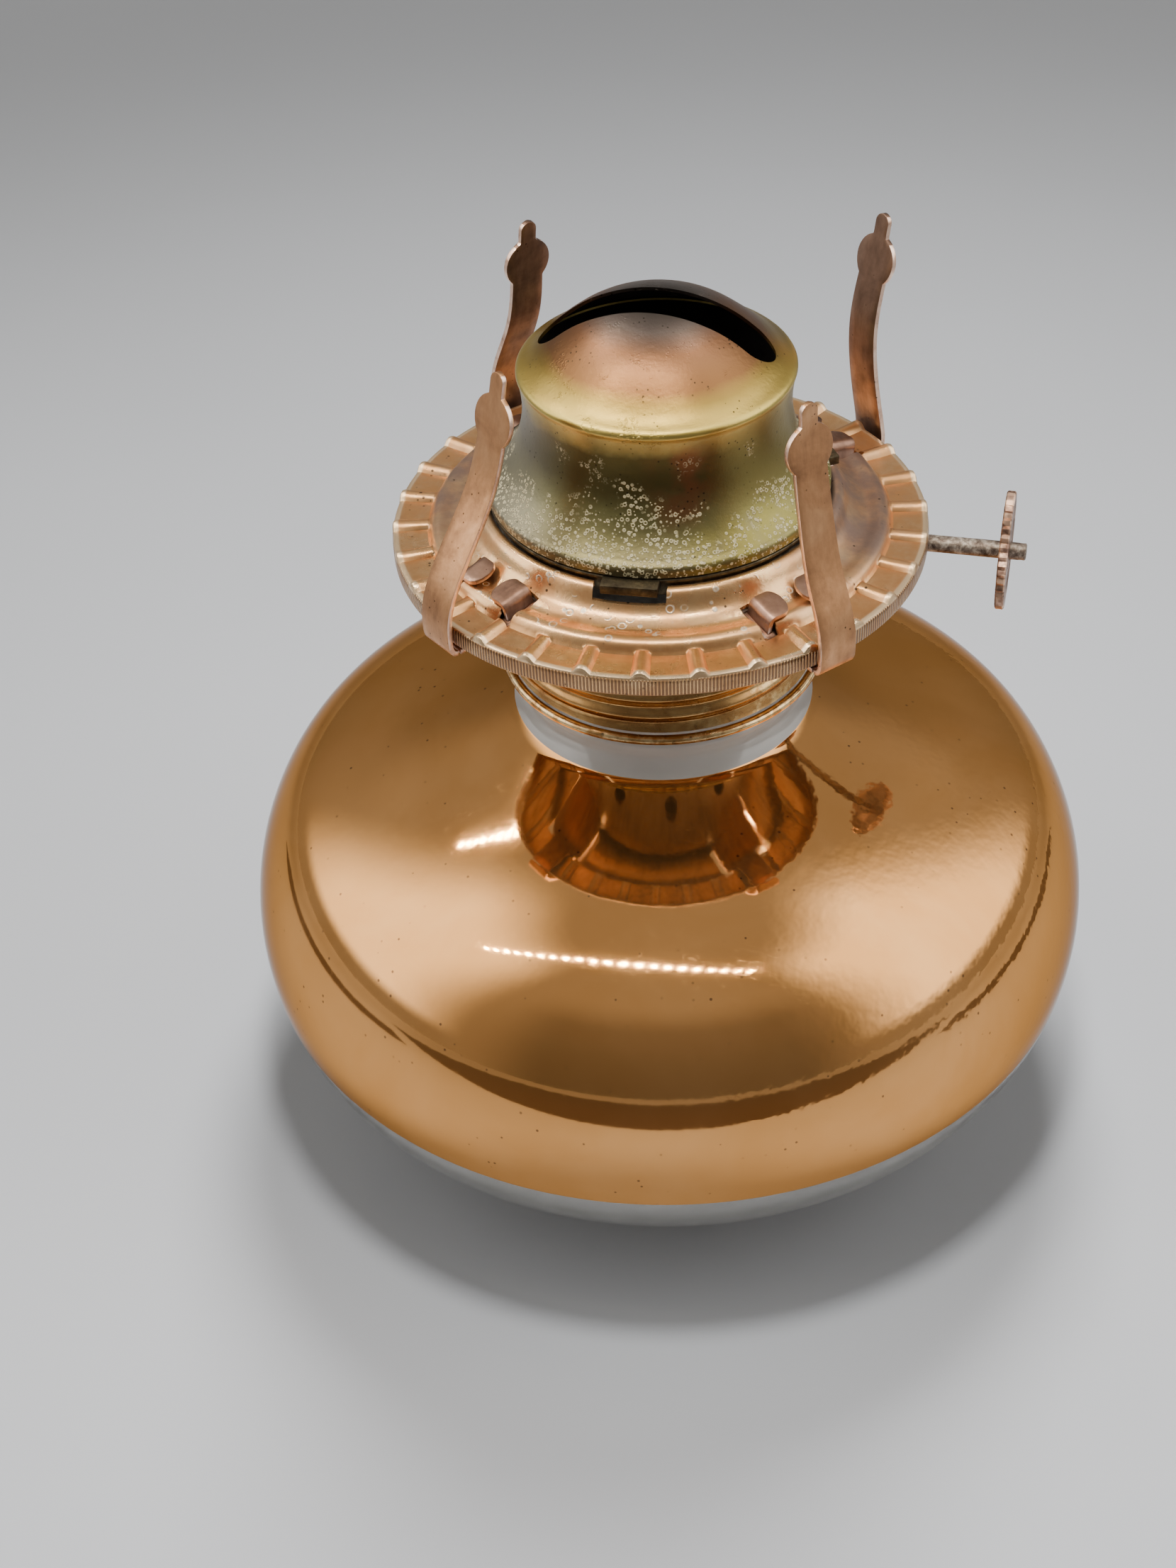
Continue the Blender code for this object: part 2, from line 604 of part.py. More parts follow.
def make_prong(name, azimuth, radii, parts, cutters):
    hinge_r, hinge_z = PRONG_HINGE
    bend = [(hinge_r + 0.2, hinge_z), (42.3, hinge_z + 0.15), (42.8, hinge_z + 0.8), (43.0, hinge_z + 2.0)]
    rises = [1.5, 4.0, 7.0, 10.0, 13.5, 17.0, 20.5, 24.0, 26.6]
    rises += [27.0, 28.0, 29.5, 31.0, 32.2, 33.0, 33.3, 35.4, 36.2, 36.7]
    sections = [(r, DECK_TOP + z, PRONG_WIDTH) for r, z in bend]
    sections += [(prong_radius(h, radii), DECK_TOP + h, prong_width(h)) for h in rises]
    angle = radians(azimuth)
    arm = lofted_strip("prong_" + name, sections, angle, "dark_copper", parts)
    pivot = pivot_at(
        f"prong_{name}_pivot", (hinge_r * cos(angle), hinge_r * sin(angle), DECK_TOP + hinge_z), parts
    )
    local_to(pivot, arm)

    wide = 2 * TONGUE_OFFSET + 2 * PRONG_THICK
    broad = [(28.9, 0.5), (30.4, 0.1), (32.4, -0.4), (34.2, -0.8)]
    narrow = [(34.9, -1.6), (36.4, -2.4), (39.0, -3.4), (40.2, hinge_z), (hinge_r - 0.2, hinge_z)]
    under = [(r, z, wide) for r, z in broad] + [(r, z, PRONG_WIDTH) for r, z in narrow]
    foot = lofted_strip(
        "prong_foot_" + name, [(r, DECK_TOP + z, w) for r, z, w in under], angle, "dark_copper", parts
    )
    for side in (-1, 1):
        join_cutter(foot, make_tongue(f"tongue_{name}_{side}", side, angle, cutters), "UNION")


def make_tongue(name, side, angle, cutters):
    """A tab that stands up through its slot and is folded over towards its twin."""
    low, fold, thick = -3.1, 0.0, PRONG_THICK
    outer = TONGUE_OFFSET + thick / 2
    outline = [(outer, low), (outer, fold + thick), (1.6, fold + thick), (1.6, fold), (outer - thick, fold)]
    outline.append((outer - thick, low))
    tongue = prism(
        name, [(side * y, z) for y, z in outline], -TONGUE_WIDTH / 2, TONGUE_WIDTH / 2, "copper", cutters
    )
    stand = Matrix(((0, 0, 1, 0), (1, 0, 0, 0), (0, 1, 0, 0), (0, 0, 0, 1)))
    place = Matrix.Translation(Vector((TONGUE_RADIUS, 0.0, DECK_TOP + TONGUE_FOLD)) * MM)
    tilt = Matrix.Rotation(TONGUE_TILT, 4, "Y")
    tongue.data.transform(Matrix.Rotation(angle, 4, "Z") @ place @ tilt @ stand)
    return tongue


def build():
    clear_scene()
    parts = new_collection("oil_lamp")
    cutters = new_collection("cutters", hidden=True)
    make_font(parts, cutters)
    make_gasket(parts)
    make_collar(parts, cutters)
    make_bowl(parts, cutters)
    make_floor(parts, cutters)
    make_diffuser(parts, cutters)
    make_wick_tube(parts, cutters)
    make_vent_tube(parts)
    make_housing(parts, cutters)
    make_bushing(parts, cutters)
    make_shaft(parts, cutters)
    make_wick(parts)
    make_deck(parts, cutters)
    make_dome(parts, cutters)
    make_seat_ring(parts, cutters)
    for name, (azimuth, radii) in PRONGS.items():
        make_prong(name, azimuth, radii, parts, cutters)


build()
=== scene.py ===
"""Finished look of a squat oil lamp: copper-lustred glass font, flat-wick burner, dome and four prongs."""

from math import atan2, cos, pi, radians, sin, sqrt

import bmesh
import bpy
import numpy as np
from mathutils import Matrix, Vector


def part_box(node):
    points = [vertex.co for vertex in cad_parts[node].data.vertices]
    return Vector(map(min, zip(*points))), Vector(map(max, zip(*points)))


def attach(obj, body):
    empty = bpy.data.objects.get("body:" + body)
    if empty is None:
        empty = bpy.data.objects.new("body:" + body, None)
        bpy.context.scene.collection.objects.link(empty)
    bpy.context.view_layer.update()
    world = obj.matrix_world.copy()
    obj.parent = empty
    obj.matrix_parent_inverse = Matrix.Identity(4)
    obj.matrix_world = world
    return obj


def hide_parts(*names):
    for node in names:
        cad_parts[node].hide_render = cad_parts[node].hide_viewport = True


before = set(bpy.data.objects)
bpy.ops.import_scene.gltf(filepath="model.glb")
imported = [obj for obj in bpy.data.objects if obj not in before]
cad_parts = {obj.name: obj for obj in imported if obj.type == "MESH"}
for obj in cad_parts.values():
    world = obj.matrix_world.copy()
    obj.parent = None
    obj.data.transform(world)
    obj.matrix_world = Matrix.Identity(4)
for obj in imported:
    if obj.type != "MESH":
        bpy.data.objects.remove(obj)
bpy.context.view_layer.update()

MM = 0.001
SHEET = 0.5
Z_AXIS = Vector((0.0, 0.0, 1.0))
VIEWER_AZIMUTH = -77.9
FRONT = Vector((cos(radians(VIEWER_AZIMUTH)), sin(radians(VIEWER_AZIMUTH)), 0.0))
SIDE = Vector((-FRONT.y, FRONT.x, 0.0))

# The studio, in metres and watts: the fill is the share of the room's light that reaches matt surfaces.
CEILING_POWER = 0.80
REAR_POWER = 1.55
ROOM_FILL = 0.20
LAMP_HEIGHT = 0.55
LAMP_RADIUS = 0.0055
CARD_HEIGHT = 0.001

# Heights in millimetres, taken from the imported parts.
DECK_TOP = 110.5
FONT_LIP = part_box("font_glass")[1].z / MM
COLLAR_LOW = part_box("screw_collar")[0].z / MM
COLLAR_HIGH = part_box("screw_collar")[1].z / MM
FLASH_LOW = 30.3
FLASH_HIGH = 77.4

SHAFT_Y = 6.8
SHAFT_Z = 105.5
WHEEL_X = 53.0
RIB_COUNT = 30
RIB_PHASE = radians(1.5)
LUG_ANGLES = [radians(a) for a in (-87.5, 32.5, 152.5)]
SLOT_LENGTH = 35.7
SLOT_WIDTH = 7.7
PRONG_THICK = 0.8
PRONG_WIDTH = 6.4
TONGUE_OFFSET = 5.4
TONGUE_RADIUS = 32.3

# Prongs: azimuth, then the radius at each of these heights over the deck.
PRONG_HEIGHTS = (1.5, 10.0, 20.0, 30.0, 36.8)
PRONGS = {
    "front_left": (-128.0, (42.9, 39.2, 33.1, 30.0, 28.6)),
    "front_right": (-42.2, (42.9, 39.9, 37.2, 35.5, 35.2)),
    "back_right": (48.4, (42.6, 41.1, 40.7, 42.8, 44.1)),
    "back_left": (137.8, (42.9, 40.5, 35.8, 34.1, 33.2)),
}


# ---------------------------------------------------------------- shaping


def eased(value):
    value = min(max(value, 0.0), 1.0)
    return value * value * (3.0 - 2.0 * value)


def smooth_through(points, count):
    """A gently bending line through points of (radius, height), as count points."""
    knots = np.array(points, float)
    gaps = np.sqrt((np.diff(knots, axis=0) ** 2).sum(1))
    along = np.concatenate(([0.0], np.cumsum(gaps)))
    size = len(knots)
    system = np.zeros((size, size))
    pull = np.zeros((size, knots.shape[1]))
    system[0, 0] = system[-1, -1] = 1.0
    for i in range(1, size - 1):
        system[i, i - 1] = gaps[i - 1]
        system[i, i] = 2.0 * (gaps[i - 1] + gaps[i])
        system[i, i + 1] = gaps[i]
        before = (knots[i] - knots[i - 1]) / gaps[i - 1]
        after = (knots[i + 1] - knots[i]) / gaps[i]
        pull[i] = 6.0 * (after - before)
    bend = np.linalg.solve(system, pull)
    line = []
    for s in np.linspace(0.0, along[-1], count):
        i = min(int(np.searchsorted(along, s, side="right")) - 1, size - 2)
        a, b, h = along[i + 1] - s, s - along[i], gaps[i]
        spot = (bend[i] * a**3 + bend[i + 1] * b**3) / (6.0 * h)
        spot = spot + (knots[i] / h - bend[i] * h / 6.0) * a
        spot = spot + (knots[i + 1] / h - bend[i + 1] * h / 6.0) * b
        line.append(tuple(float(v) for v in spot))
    return line


def arc(centre, radius, start, end, count):
    """Points of (radius, height) along an arc, its angles in degrees."""
    angles = [radians(start + (end - start) * i / (count - 1)) for i in range(count)]
    return [(centre[0] + radius * cos(a), centre[1] + radius * sin(a)) for a in angles]


def wall(line, thickness):
    """The closed outline of a sheet whose middle follows a line."""
    outer, inner = [], []
    for i, (r, z) in enumerate(line):
        before = Vector(line[max(i - 1, 0)])
        after = Vector(line[min(i + 1, len(line) - 1)])
        along = (after - before).normalized()
        side = Vector((-along.y, along.x)) * thickness / 2
        outer.append((max(r + side.x, 0.0), z + side.y))
        inner.append((max(r - side.x, 0.0), z - side.y))
    return outer + inner[::-1]


def spun(outline, steps, closed=True):
    """An outline of (radius, height) in millimetres spun once round Z."""
    shape = bmesh.new()
    corners = [shape.verts.new((r * MM, 0.0, z * MM)) for r, z in outline]
    pairs = list(zip(corners, corners[1:]))
    if closed:
        pairs.append((corners[-1], corners[0]))
    edges = [shape.edges.new(pair) for pair in pairs]
    bmesh.ops.spin(
        shape,
        geom=corners + edges,
        cent=(0.0, 0.0, 0.0),
        axis=(0.0, 0.0, 1.0),
        dvec=(0.0, 0.0, 0.0),
        angle=2.0 * pi,
        steps=steps,
        use_merge=True,
    )
    bmesh.ops.remove_doubles(shape, verts=shape.verts, dist=0.0000002)
    bmesh.ops.recalc_face_normals(shape, faces=shape.faces)
    return shape


def bar(radius, length, at, axis, segments=32):
    """A closed round bar centred on a point in millimetres."""
    shape = bmesh.new()
    bmesh.ops.create_cone(
        shape,
        cap_ends=True,
        segments=segments,
        radius1=radius * MM,
        radius2=radius * MM,
        depth=length * MM,
    )
    turn = Z_AXIS.rotation_difference(Vector(axis)).to_matrix().to_4x4()
    shape.transform(Matrix.Translation(Vector(at) * MM) @ turn)
    return shape


def block(size, at, azimuth=0.0, rounded=0.0):
    """A closed block centred on a point in millimetres, then turned about Z."""
    shape = bmesh.new()
    bmesh.ops.create_cube(shape, size=1.0)
    shape.transform(Matrix.Diagonal((*(Vector(size) * MM), 1.0)))
    if rounded:
        soften(shape, rounded, shape.edges[:])
    shape.transform(Matrix.Rotation(azimuth, 4, "Z") @ Matrix.Translation(Vector(at) * MM))
    return shape


def soften(shape, width, edges, segments=2):
    """Rounds edges with a small bevel, its width in millimetres."""
    bmesh.ops.bevel(
        shape,
        geom=edges,
        offset=width * MM,
        offset_type="OFFSET",
        affect="EDGES",
        segments=segments,
        profile=0.5,
        clamp_overlap=True,
        material=-1,
    )


def sharp_edges(shape, angle=50.0):
    shape.normal_update()
    return [e for e in shape.edges if len(e.link_faces) == 2 and e.calc_face_angle(0.0) > radians(angle)]


def add_shape(shape, other):
    """Adds a second shape to the first and lets the second go."""
    spare = bpy.data.meshes.new("spare")
    other.to_mesh(spare)
    other.free()
    shape.from_mesh(spare)
    bpy.data.meshes.remove(spare)
    return shape


def as_object(name, shape):
    mesh = bpy.data.meshes.new(name)
    shape.to_mesh(mesh)
    shape.free()
    obj = bpy.data.objects.new(name, mesh)
    bpy.context.scene.collection.objects.link(obj)
    return obj


def joined(blank, tool, operation="DIFFERENCE"):
    """Cuts a closed shape out of another, or welds the two into one."""
    first = as_object("blank", blank)
    second = as_object("tool", tool)
    change = first.modifiers.new("join", "BOOLEAN")
    change.operation = operation
    change.solver = "EXACT"
    change.object = second
    bpy.context.view_layer.update()
    graph = bpy.context.evaluated_depsgraph_get()
    mesh = bpy.data.meshes.new_from_object(first.evaluated_get(graph))
    shape = bmesh.new()
    shape.from_mesh(mesh)
    bmesh.ops.remove_doubles(shape, verts=shape.verts, dist=0.0000002)
    for obj in (first, second):
        spare = obj.data
        bpy.data.objects.remove(obj, do_unlink=True)
        bpy.data.meshes.remove(spare)
    bpy.data.meshes.remove(mesh)
    return shape


def stadium_block(width, thick, low, high, segments=34):
    """An upright flat oval block along X, as the punch that cuts the dome's slot."""
    shape = bar(thick / 2, high - low, (0.0, 0.0, (low + high) / 2), (0, 0, 1), segments)
    half = (width - thick) / 2 * MM
    for vert in shape.verts:
        vert.co.x += half if vert.co.x > 0.0000001 else -half
    return shape


def strip(path, across, widths, thickness, columns=4, rounded=0.12):
    """A bent metal strip: a grid laid along a path, thickened, its cut edges softened."""
    rows = len(path)
    shape = bmesh.new()
    bmesh.ops.create_grid(shape, x_segments=columns, y_segments=rows - 1, size=1.0)
    shape.verts.ensure_lookup_table()
    for vert in shape.verts:
        row = round((vert.co.y + 1.0) / 2.0 * (rows - 1))
        share = vert.co.x
        before, after = path[max(row - 1, 0)], path[min(row + 1, rows - 1)]
        outward = across.cross((after - before).normalized())
        vert.co = (path[row] + across * widths[row] / 2 * share - outward * thickness / 2) * MM
    bmesh.ops.recalc_face_normals(shape, faces=shape.faces)
    middle = shape.faces[:][len(shape.faces) // 2]
    row_out = across.cross((path[rows // 2 + 1] - path[rows // 2]).normalized())
    sign = 1.0 if middle.normal.dot(row_out) > 0.0 else -1.0
    bmesh.ops.solidify(shape, geom=shape.faces[:], thickness=-sign * thickness * MM)
    bmesh.ops.recalc_face_normals(shape, faces=shape.faces)
    shape.normal_update()
    edges = sharp_edges(shape, 55.0)
    for face in shape.faces:
        face.material_index = 0
    rim = {f for e in edges for f in e.link_faces if abs(f.normal.dot(across)) > 0.6}
    for face in rim:
        face.material_index = 1
    if rounded:
        soften(shape, rounded, edges)
    return shape


def piece(name, shape, finishes, body, nodes, sharp=32.0):
    """A finished piece: smooth-shaded, in its finishes, riding on its body in place of CAD nodes."""
    obj = as_object(name, shape)
    for finish in finishes:
        obj.data.materials.append(finish)
    obj.data.shade_smooth()
    obj.data.set_sharp_from_angle(angle=radians(sharp))
    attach(obj, body)
    if nodes:
        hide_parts(*nodes)
    return obj


# ---------------------------------------------------------------- finishes


class Mixing:
    """Short words for mixing patterns in a node tree."""

    def __init__(self, tree, place):
        self.tree = tree
        self.place = place

    def feed(self, socket, value):
        if isinstance(value, bpy.types.NodeSocket):
            self.tree.links.new(value, socket)
        elif isinstance(value, tuple) and len(value) == 3 and socket.type == "RGBA":
            socket.default_value = (*value, 1.0)
        else:
            socket.default_value = value

    def moved(self, scale=(1.0, 1.0, 1.0), turn=(0.0, 0.0, 0.0), shift=(0.0, 0.0, 0.0)):
        node = self.tree.nodes.new("ShaderNodeMapping")
        node.inputs["Scale"].default_value = scale
        node.inputs["Rotation"].default_value = turn
        node.inputs["Location"].default_value = shift
        self.tree.links.new(self.place, node.inputs["Vector"])
        return node.outputs["Vector"]

    def grain(self, size, detail=3.0, rough=0.5, warp=0.0, at=None, colour=False):
        """Soft noise whose patches are about size millimetres across."""
        node = self.tree.nodes.new("ShaderNodeTexNoise")
        node.inputs["Scale"].default_value = 1.0 / (size * MM)
        node.inputs["Detail"].default_value = detail
        node.inputs["Roughness"].default_value = rough
        node.inputs["Distortion"].default_value = warp
        self.tree.links.new(at or self.place, node.inputs["Vector"])
        return node.outputs["Color" if colour else "Fac"]

    def cells(self, size, jitter=1.0, at=None, output="Distance", feature="F1"):
        """Distance to scattered points that stand about size millimetres apart."""
        node = self.tree.nodes.new("ShaderNodeTexVoronoi")
        node.feature = feature
        node.inputs["Scale"].default_value = 1.0 / (size * MM)
        node.inputs["Randomness"].default_value = jitter
        self.tree.links.new(at or self.place, node.inputs["Vector"])
        return node.outputs[output]

    def sum(self, operation, first, second=0.0, clamp=False):
        node = self.tree.nodes.new("ShaderNodeMath")
        node.operation = operation
        node.use_clamp = clamp
        self.feed(node.inputs[0], first)
        self.feed(node.inputs[1], second)
        return node.outputs[0]

    def times(self, *values):
        result = values[0]
        for value in values[1:]:
            result = self.sum("MULTIPLY", result, value)
        return result

    def fade(self, value, low, high, start=0.0, end=1.0):
        """Runs from start to end as the value goes from low to high."""
        node = self.tree.nodes.new("ShaderNodeMapRange")
        node.interpolation_type = "SMOOTHSTEP"
        self.feed(node.inputs["Value"], value)
        node.inputs["From Min"].default_value = low
        node.inputs["From Max"].default_value = high
        node.inputs["To Min"].default_value = start
        node.inputs["To Max"].default_value = end
        return node.outputs["Result"]

    def hump(self, value, low, high, soft):
        """One between low and high, nothing outside, with soft shoulders."""
        return self.times(
            self.fade(value, low - soft, low + soft), self.fade(value, high - soft, high + soft, 1.0, 0.0),
        )

    def axis(self, name):
        """A coordinate in millimetres."""
        node = self.tree.nodes.new("ShaderNodeSeparateXYZ")
        self.tree.links.new(self.place, node.inputs[0])
        return self.sum("MULTIPLY", node.outputs[name], 1.0 / MM)

    def radius(self):
        x, y = self.axis("X"), self.axis("Y")
        return self.sum("SQRT", self.sum("ADD", self.times(x, x), self.times(y, y)))

    def angle(self):
        return self.sum("ARCTAN2", self.axis("Y"), self.axis("X"))

    def ramp(self, value, stops):
        node = self.tree.nodes.new("ShaderNodeValToRGB")
        bar_of_colours = node.color_ramp
        while len(bar_of_colours.elements) < len(stops):
            bar_of_colours.elements.new(0.5)
        for element, (position, colour) in zip(bar_of_colours.elements, stops):
            element.position = position
            element.color = (*colour, 1.0)
        self.tree.links.new(value, node.inputs["Fac"])
        return node.outputs["Color"]

    def mix(self, factor, first, second, blend="MIX"):
        node = self.tree.nodes.new("ShaderNodeMix")
        node.data_type = "RGBA"
        node.blend_type = blend
        self.feed(node.inputs[0], factor)
        self.feed(node.inputs[6], first)
        self.feed(node.inputs[7], second)
        return node.outputs[2]

    def relief(self, height, depth, under=None):
        """Raises and sinks the surface by up to depth millimetres."""
        node = self.tree.nodes.new("ShaderNodeBump")
        node.inputs["Distance"].default_value = depth * MM
        self.tree.links.new(height, node.inputs["Height"])
        if under is not None:
            self.tree.links.new(under, node.inputs["Normal"])
        return node.outputs["Normal"]


class Finish(Mixing):
    """A finish being mixed on a shader of its own."""

    def __init__(self, name, metallic=0.0, roughness=0.4):
        self.material = bpy.data.materials.new(name)
        self.material.use_nodes = True
        tree = self.material.node_tree
        super().__init__(tree, tree.nodes.new("ShaderNodeTexCoord").outputs["Object"])
        self.shader = tree.nodes["Principled BSDF"]
        self.set("Metallic", metallic)
        self.set("Roughness", roughness)

    def set(self, socket, value):
        self.feed(self.shader.inputs[socket], value)

    def done(self, colour=None, roughness=None, normal=None):
        if colour is not None:
            self.feed(self.shader.inputs["Base Color"], colour)
        if roughness is not None:
            self.set("Roughness", roughness)
        if normal is not None:
            self.set("Normal", normal)
        return self.material


def copper_lustre():
    """Thin fired copper on glass: a warm mirror with pin specks, smears and a little orange peel."""
    f = Finish("copper_lustre", metallic=0.93)
    smear = f.grain(28.0, 5.0, 0.6, 0.6)
    f.set("Specular Tint", (0.50, 0.43, 0.38, 1.0))
    colour = f.mix(f.fade(smear, 0.35, 0.7), (0.67, 0.315, 0.095), (0.74, 0.365, 0.125))
    specks = f.fade(f.cells(2.4), 0.075, 0.115, 1.0, 0.0)
    sparse = f.fade(f.grain(11.0, 2.0), 0.46, 0.60)
    colour = f.mix(f.times(specks, sparse, 0.75), colour, (0.10, 0.05, 0.03))
    dust = f.fade(f.grain(1.2, 2.0, 0.7), 0.56, 0.8)
    rough = f.sum("ADD", f.fade(smear, 0.3, 0.8, 0.04, 0.08), f.times(dust, 0.05))
    scored = f.grain(5.0, 2.0, 0.6, 0.3, f.moved((0.25, 6.0, 1.1), (0.3, 0.2, 0.7)))
    scratches = f.fade(f.sum("ABSOLUTE", f.sum("SUBTRACT", scored, 0.5)), 0.0, 0.006, 1.0, 0.0)
    where = f.fade(f.grain(24.0, 2.0), 0.54, 0.66)
    rough = f.sum("ADD", rough, f.times(scratches, where, 0.16))
    peel = f.times(f.grain(1.5, 1.0, 0.4), f.fade(f.axis("X"), 8.0, 46.0, 0.15, 1.0))
    waves = f.grain(16.0, 1.0, 0.3)
    normal = f.relief(waves, 0.05, f.relief(peel, 0.024))
    return f.done(colour, rough, normal)


def clear_glass():
    f = Finish("clear_glass", roughness=0.02)
    # Painted light: above 60 to 70 mm the clear glass is made part opaque and pale, so the neck and its ring
    # show brighter in place of the bright bands it mirrors.
    f.set("Transmission Weight", f.fade(f.axis("Z"), 60.0, 70.0, 0.94, 0.35))
    f.set("IOR", 1.5)
    seeds = f.grain(7.0, 1.0, 0.4)
    colour = f.mix(f.fade(seeds, 0.3, 0.7), (0.86, 0.84, 0.79), (0.95, 0.93, 0.88))
    return f.done(colour, None, f.relief(seeds, 0.05))


def deck_copper():
    """Pinkish copper with the wear of use: ring stains, pits, a knurled rim, darker and rougher grey-brown
    patches on the sides and back that are painted shade over some tarnish, and a bright band on the rim's top
    edge that is a painted highlight.
    """
    f = Finish("deck_copper", metallic=1.0)
    r, z, y = f.radius(), f.axis("Z"), f.axis("Y")
    cloud = f.grain(9.0, 6.0, 0.62, 0.4)
    colour = f.ramp(
        cloud,
        [
            (0.25, (0.42, 0.19, 0.075)),
            (0.42, (0.76, 0.40, 0.17)),
            (0.60, (0.95, 0.58, 0.27)),
            (0.85, (1.0, 0.74, 0.42)),
        ],
    )
    # Painted shade: the sides and back are turned towards dark grey-brown copper, over some real tarnish,
    # standing in for the darker room these parts mirror.
    side = f.fade(f.sum("ABSOLUTE", f.axis("X")), 18.0, 34.0)
    back = f.fade(y, -22.0, -4.0)
    tarnish_and_painted_shade = f.times(
        f.sum("MAXIMUM", f.times(side, 0.55), back),
        f.fade(f.grain(6.0, 5.0, 0.6), 0.28, 0.62, 0.45, 0.95),
        f.fade(r, 34.6, 36.2, 1.0, 0.45),
    )
    colour = f.mix(tarnish_and_painted_shade, colour, f.mix(cloud, (0.17, 0.115, 0.095), (0.36, 0.25, 0.205)))
    panel = f.hump(r, 35.6, 40.4, 0.2)
    colour = f.mix(
        f.times(panel, f.fade(f.grain(2.5, 4.0, 0.65), 0.35, 0.65, 0.35, 0.8)), colour, (0.62, 0.31, 0.115),
    )
    ring_cells = f.cells(1.9)
    rings = f.hump(ring_cells, 0.24, 0.34, 0.04)
    near = f.times(
        f.fade(f.grain(5.0, 3.0), 0.49, 0.6), f.fade(y, -12.0, -22.0), f.fade(r, 34.6, 35.4, 1.0, 0.0),
    )
    colour = f.mix(f.times(rings, near, 0.75), colour, (0.80, 0.74, 0.60))
    f.set("Metallic", f.sum("SUBTRACT", 0.93, f.times(rings, near, 0.5)))
    pits = f.fade(f.cells(1.1), 0.16, 0.24, 1.0, 0.0)
    pitted = f.fade(f.grain(4.0, 3.0), 0.56, 0.66)
    colour = f.mix(f.times(pits, pitted, 0.9), colour, (0.07, 0.045, 0.03))
    rim = f.times(f.fade(r, 40.9, 41.2), f.fade(z, DECK_TOP - 0.7, DECK_TOP - 0.35, 1.0, 0.0))
    ridges = f.sum("SINE", f.times(f.angle(), 500.0))
    colour = f.mix(f.times(rim, f.fade(ridges, -0.2, 0.9, 0.85, 0.15)), colour, (0.16, 0.085, 0.05))
    # Painted highlight: a bright band along the rim's top edge.
    wear_and_painted_highlight = f.times(f.hump(r, 40.55, 41.6, 0.15), f.fade(z, DECK_TOP - 0.55, DECK_TOP - 0.3))
    colour = f.mix(f.times(wear_and_painted_highlight, 0.8), colour, (1.0, 0.74, 0.45))
    rough = f.sum("ADD", f.fade(cloud, 0.3, 0.7, 0.34, 0.22), f.times(tarnish_and_painted_shade, 0.2))
    normal = f.relief(f.grain(0.9, 3.0, 0.6), 0.03)
    normal = f.relief(f.times(f.sum("SUBTRACT", rings, f.times(pits, pitted, 2.0)), near), 0.03, normal)
    normal = f.relief(f.times(ridges, rim), 0.10, normal)
    return f.done(colour, rough, normal)


